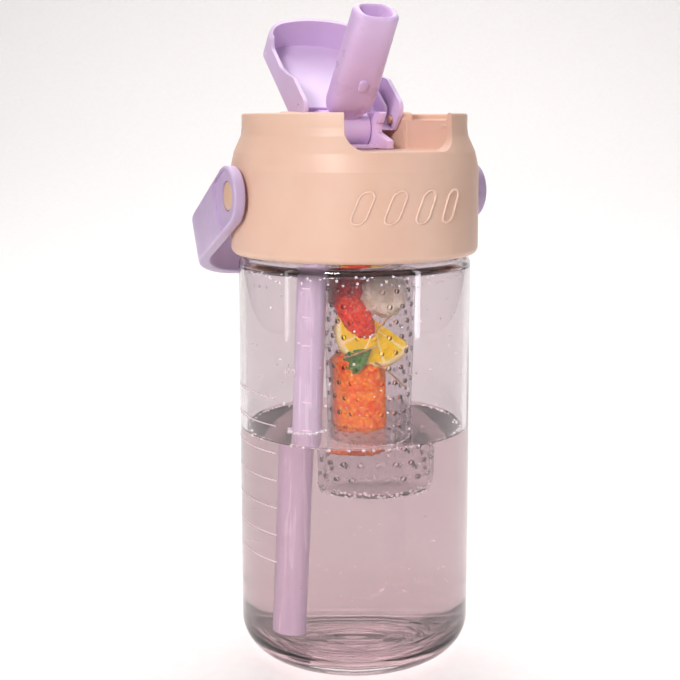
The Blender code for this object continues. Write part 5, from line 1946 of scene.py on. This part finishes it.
@dataclass
class CupContents:
    """Fruit and a leaf in the cup, placed as they lie against its front wall."""

    cup: InfuserCup = field(default_factory=InfuserCup)
    front: float = math.radians(VIEW_AZIMUTH)

    def settle(self, obj: Piece, place: Point3, turns: Point3) -> Piece:
        """Turn a piece, then put it in the cup.

        Args:
            obj: The piece, round the origin.
            place: How far right of the cup's middle it lies, how high, and how far toward the front, in mm.
            turns: Turns round its own X, Y and Z, in degrees.

        Returns:
            The piece, trimmed to the inside of the cup.
        """
        across, height, forward = place
        placed = Matrix.Translation((*self.cup.place, 0)) @ Matrix.Rotation(self.front, 4, "Z")
        placed = placed @ Matrix.Translation((across * MM, -forward * MM, height * MM))
        for axis, turn in zip("ZYX", reversed(turns)):
            placed = placed @ Matrix.Rotation(math.radians(turn), 4, axis)
        obj.data.transform(placed)
        trimmed = combined(obj, [self.cup.filling("cup_room", 0.3 * MM, 160 * MM)], Cut.SHARED)
        return remember_places(trimmed, placed)

    def slice(self, name: str, radius: float, thick: float) -> Piece:
        """Make half a slice of citrus: a half disc with round edges, its cut side at the top.

        Args:
            name: Name of the object.
            radius: Its radius.
            thick: Its thickness.

        Returns:
            The closed half slice, round the origin.
        """
        half, edge = thick / 2, thick * 0.3
        outline = filleted([(0, -half, 0), (radius, -half, edge), (radius, half, edge), (0, half, 0)])
        made = lathe(name, outline, 72)
        keep = prism("kept_half", box_outline(-20 * MM, 20 * MM, -20 * MM, 2.5 * MM), Axis.Z, -10 * MM, 10 * MM)
        return combined(made, [keep], Cut.SHARED)

    def stem(self, name: str, start: Point3, end: Point3, radius: float, sag: float) -> Piece:
        """Make a thin stem, bowed a little.

        Args:
            name: Name of the object.
            start: Its thick end, in mm across, forward and up.
            end: Its thin end.
            radius: Its radius at the thick end, in mm.
            sag: How far it bows, in mm.

        Returns:
            The closed stem.
        """
        low, high = Vector(start), Vector(end)
        side = (high - low).cross(Vector((0, 1, 0))).normalized()
        steps, sides, taper = 24, 12, 0.35
        rings = []
        for step in range(steps + 1):
            along = step / steps
            middle = low.lerp(high, along) + side * sag * math.sin(math.pi * along)
            thin = radius * (1 - taper * along)
            ring = []
            for part in range(sides):
                turn = TURN * part / sides
                point = middle + (side * math.cos(turn) + Vector((0, 1, 0)) * math.sin(turn)) * thin
                ring.append((point.x * MM, -point.y * MM, point.z * MM))
            rings.append(ring)
        return loft(name, rings)

    def leaf(self, name: str, long: float) -> Piece:
        """Make a small pointed leaf with a fold along its middle.

        Args:
            name: Name of the object.
            long: Its length.

        Returns:
            The closed leaf, round the origin.
        """
        half_wide, bow, thick, fold = 4.0 * MM, 1.5 * MM, 0.22 * MM, 0.35
        steps, sides = 16, 16
        rings = []
        for step in range(steps + 1):
            along = step / steps
            wide = half_wide * math.sin(math.pi * along**0.8) + 0.15 * MM
            lift = bow * math.sin(math.pi * along)
            ring = []
            for part in range(sides):
                turn = TURN * part / sides
                across = wide * math.cos(turn)
                up = thick * math.sin(turn) + abs(across) * fold + lift
                ring.append((across, (along - 0.5) * long, up))
            rings.append(ring)
        return loft(name, rings)

    def build(self) -> list[Piece]:
        """Build every piece of fruit, the leaves and the stems.

        Returns:
            The pieces, finished and tied to their bodies.
        """
        lemon = SliceFlesh("lemon_slice_wet_cut", "F4D41C", "F7EDB6", "F2E08A", 14.4 * MM)
        # The last colour of each flesh is the painted glint on its pulp.
        orange = Flesh("orange_fruit_wet_cut", "FF9E20", "F04E00", 1.7 * MM, 0.6 * MM, 0.16, "FFD98A")
        berry = Flesh("dark_berry_skin", "E23A30", "A01A1C", 2.4 * MM, 0.3 * MM, 0.14, "F49A84")
        red = Flesh("red_berry_wet_cut", "FF5220", "DC2410", 1.5 * MM, 0.55 * MM, 0.18, "FFB07A")
        pale = Flesh("lychee_flesh_wet_cut", "FFF8E4", "E2D8BC", 2.6 * MM, 0.45 * MM, 0.1, "FFFFFF")
        leaf = Flesh("mint_leaf_fresh", "5F9A40", "2F6428", 2.2 * MM, 0.15 * MM, 0.3, "A9CF86")
        stalk = Flesh("mint_stem_fresh", "C9B488", "A8854E", 1.2 * MM, 0.1 * MM, 0.3, "EADCB8")
        none = (0, 0, 0)
        pieces = [
            (lump("orange_block", (11.2, 9.5, 17.4), 0.5, 1.0, 3.0, 0.35), (-5.4, 91.6, 3.8), none, orange),
            (self.slice("lemon_slice", 14.4 * MM, 6.0 * MM), (1.6, 118.0, 5.2), (72, 36, -4), lemon),
            (lump("dark_berry", (7.2, 6.4, 7.6), 0.9, 0.6, 7.0, 0.1), (-9.6, 133.4, 6.0), none, berry),
            (lump("red_berry", (4.9, 4.3, 11.2), 0.75, 1.0, 11.0, 0.3), (-5.8, 124.8, 7.8), (0, -32, 0), red),
            (lump("pale_flesh", (8.6, 6.6, 8.4), 0.8, 1.1, 17.0, 0.25), (4.6, 131.2, 4.6), (0, 24, 0), pale),
            (self.leaf("mint_leaf_low", 15 * MM), (-7.0, 104.7, 11.6), (76, 60, -30), leaf),
            (self.leaf("mint_leaf_high", 13 * MM), (-4.2, 107.4, 10.6), (74, 46, -30), leaf),
            (self.stem("stem_high", (0.6, 13.2, 116.0), (11.2, 8.6, 127.0), 0.42, 0.6), none, none, stalk),
            (self.stem("stem_low", (-9.5, 11.6, 108.6), (2.4, 13.4, 113.6), 0.5, -0.5), none, none, stalk),
            (self.stem("stem_right", (1.8, 13.4, 107.4), (12.6, 6.8, 97.0), 0.45, 0.4), none, none, stalk),
        ]
        settled = [(self.settle(piece, place, turns), look) for piece, place, turns, look in pieces]
        return [finished(piece, look.material(), Body.INFUSER) for piece, look in settled]


# The studio.


@dataclass
class Studio:
    """Pale sweep, soft lamps and the camera at the photograph's angle."""

    azimuth: float = VIEW_AZIMUTH
    distance: float = 441.0 * MM
    height: float = 193.2 * MM
    pitch: float = 6.99
    lens: float = 64.53
    middle: Point2 = (354.5, 272.0)
    pixels: float = 680.0
    sweep_colour: str = "F4F1F0"
    dim: float = 0.15
    pale: float = 1.05

    def sweep(self) -> Piece:
        """Make the floor that curves up behind into a wall.

        Returns:
            The sweep, turned to the camera and finished as painted board.
        """
        profile = filleted([(-0.8, 0, 0), (1.6, 0, 0.5), (1.6, 2.4, 0)])
        rings = [[(across, along, up) for along, up in profile] for across in (-1.0, 1.0)]
        points = [point for ring in rings for point in ring]
        count = len(profile)
        faces = [[index, index + 1, count + index + 1, count + index] for index in range(count - 1)]
        made = from_data("studio_sweep", points, faces)
        mesh = made.data
        mesh.polygons.foreach_set("use_smooth", [True] * len(mesh.polygons))
        work, tree, shader = new_material("painted_board_matt")
        grain = noise(tree, object_place(tree), 5 * MM, 3.0)
        feed(tree, shader, {"Base Color": drifting(tree, grain, "F1EEEC", self.sweep_colour), "Roughness": 0.85})
        mesh.materials.append(work)
        made.data.transform(Matrix.Rotation(math.radians(self.azimuth), 4, "Z"))
        return made

    def lamp(
        self, name: str, place: Point3, size: Point2, power: float, colour: str, aim: Point3, beam: float = 180
    ) -> Piece:
        """Hang a rectangular soft lamp, turned to what it lights.

        Args:
            name: Name of the lamp.
            place: Where it hangs, seen from the camera: right, away and up.
            size: Its width and height.
            power: Its power in watts.
            colour: Colour of its light.
            aim: What it is turned to.
            beam: How wide its light spreads, in degrees.

        Returns:
            The lamp.
        """
        light = bpy.data.lights.new(name, "AREA")
        light.shape = "RECTANGLE"
        light.size, light.size_y = size
        light.energy = power
        light.spread = math.radians(beam)
        light.color = linear(colour)[:3]
        made = linked(name, light)
        made.visible_camera = False
        spin = Matrix.Rotation(math.radians(self.azimuth), 4, "Z")
        made.location = spin @ Vector(place)
        made.rotation_mode = "QUATERNION"
        made.rotation_quaternion = (spin @ Vector(aim) - made.location).to_track_quat("-Z", "Y")
        return made

    def world(self) -> None:
        """Give the room a pale far wall, and a dim even light that keeps its reflections quiet."""
        world = bpy.data.worlds.new("studio_room")
        world.use_nodes = True
        tree = world.node_tree
        dim = tree.nodes["Background"]
        feed(tree, dim, {"Color": linear("F0EEF2"), "Strength": self.dim})
        pale = add_node(tree, "ShaderNodeBackground", {"Color": linear("FBFAF9"), "Strength": self.pale})
        ray = add_node(tree, "ShaderNodeLightPath").outputs
        seen = reckon(tree, "MAXIMUM", ray["Is Camera Ray"], ray["Is Transmission Ray"])
        mixed = add_node(tree, "ShaderNodeMixShader", None, Fac=seen, i1=dim.outputs[0], i2=pale.outputs[0])
        tree.links.new(mixed.outputs[0], tree.nodes["World Output"].inputs["Surface"])
        bpy.context.scene.world = world
        bpy.context.scene.view_settings.view_transform = "Standard"

    def camera(self) -> Piece:
        """Stand the camera where the photograph was taken, with the shift that the framing needs.

        Returns:
            The camera, which the scene then looks through.
        """
        data = bpy.data.cameras.new("studio_camera")
        data.lens = self.lens
        data.sensor_width = 36.0
        data.shift_x = (self.pixels / 2 - self.middle[0]) / self.pixels
        data.shift_y = (self.middle[1] - self.pixels / 2) / self.pixels
        data.clip_start, data.clip_end = 0.02, 20.0
        data.dof.use_dof = False
        made = linked("studio_camera", data)
        turn = math.radians(self.azimuth)
        made.location = (math.sin(turn) * self.distance, -math.cos(turn) * self.distance, self.height)
        made.rotation_euler = (math.pi / 2 - math.radians(self.pitch), 0, turn)
        bpy.context.scene.camera = made
        return made

    def build(self) -> None:
        """Set up the sweep, the lamps, the room and the camera."""
        aim = (0, 0, 0.11)
        made = [
            self.sweep(),
            self.lamp("key_lamp", (-0.4, -1.0, 0.58), (0.28, 0.28), 1.4, "FFFBFA", aim, 70),
            self.lamp("right_strip", (0.85, -0.45, 0.3), (0.1, 0.7), 0.5, "F6F4FF", aim, 100),
            self.lamp("left_strip", (-0.85, -0.35, 0.3), (0.06, 0.7), 0.16, "FFFFFF", aim, 100),
            self.lamp("back_lamp", (0.1, 0.9, 0.8), (1.2, 0.5), 1.8, "FFFFFF", aim),
            self.lamp("top_lamp", (0, -0.05, 1.2), (0.5, 0.5), 1.3, "FFFFFF", aim, 110),
            self.lamp("sweep_lamp", (0, 0.8, 1.9), (2.4, 0.8), 36.0, "FFFFFF", (0, 1.6, 0.5)),
        ]
        made.append(self.camera())
        self.world()


@dataclass(frozen=True)
class InnerPlastic:
    """Natural polypropylene of the hidden fittings: milky, warm and a little see-through at its edges."""

    name: str
    colour: str = "E9D9CE"

    def material(self) -> Material:
        """Build the milky plastic."""
        return SatinPlastic(self.name, self.colour, "DFCBBD", 0.36, 0.4 * MM, 0.3).material()


@dataclass(frozen=True)
class Silicone:
    """Translucent silicone rubber, pressed: soft broad sheen and milky depth."""

    name: str

    def material(self) -> Material:
        """Build the rubber.

        Returns:
            The material.
        """
        made, tree, shader = new_material(self.name)
        dust = noise(tree, object_place(tree), 3 * MM, 5.0)
        values = {
            "Base Color": drifting(tree, dust, "E6E4E0", "F0EEEA"),
            "Roughness": spread(tree, dust, 0.48, 0.62),
            "Subsurface Weight": 0.5,
            "Subsurface Scale": 2 * MM,
            "IOR": 1.41,
        }
        feed(tree, shader, values)
        return made


def dress_fittings(nodes: dict[str, Piece]) -> None:
    """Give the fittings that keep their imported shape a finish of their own.

    Args:
        nodes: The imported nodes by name.
    """
    looks = {
        "lid_liner": InnerPlastic("inner_cap_polypropylene_moulded"),
        "straw_socket": InnerPlastic("socket_polypropylene_moulded"),
        "infuser_collar": InnerPlastic("collar_polypropylene_moulded"),
        "flow_duct": InnerPlastic("duct_polypropylene_moulded"),
        "lid_seal": Silicone("silicone_lid_seal_pressed"),
        "spout_seal": Silicone("silicone_spout_seal_pressed"),
        "cover_pin_left": SatinPlastic("peach_polypropylene_left_stub", "E6B89A", "DEAC8D"),
        "cover_pin_right": SatinPlastic("peach_polypropylene_right_stub", "E6B89A", "DEAC8D"),
    }
    for name, look in looks.items():
        mesh = nodes[name].data
        mesh.materials.clear()
        mesh.materials.append(look.material())
        LOG.info("%s: finish %s", name, look.name)


def main() -> None:
    """Build the bottle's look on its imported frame, piece by piece."""
    logging.basicConfig(level=logging.INFO, format="%(message)s")
    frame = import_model()
    dress_fittings(frame["nodes"])
    straw, cup = Straw(), InfuserCup()
    builders = [
        BottleBody(),
        ScaleMarks(),
        LidShell(),
        BandMarks(),
        FlipCover(),
        DrinkSpout(),
        SpoutSeat(),
        BailHandle(),
        HandlePin(-1, "handle_pin_left"),
        HandlePin(1, "handle_pin_right"),
        straw,
        cup,
        CupContents(cup),
    ]
    for builder in builders:
        builder.build()
    Drink().build()
    Drops(cup, straw).build()
    Studio().build()


if __name__ == "__main__":
    main()
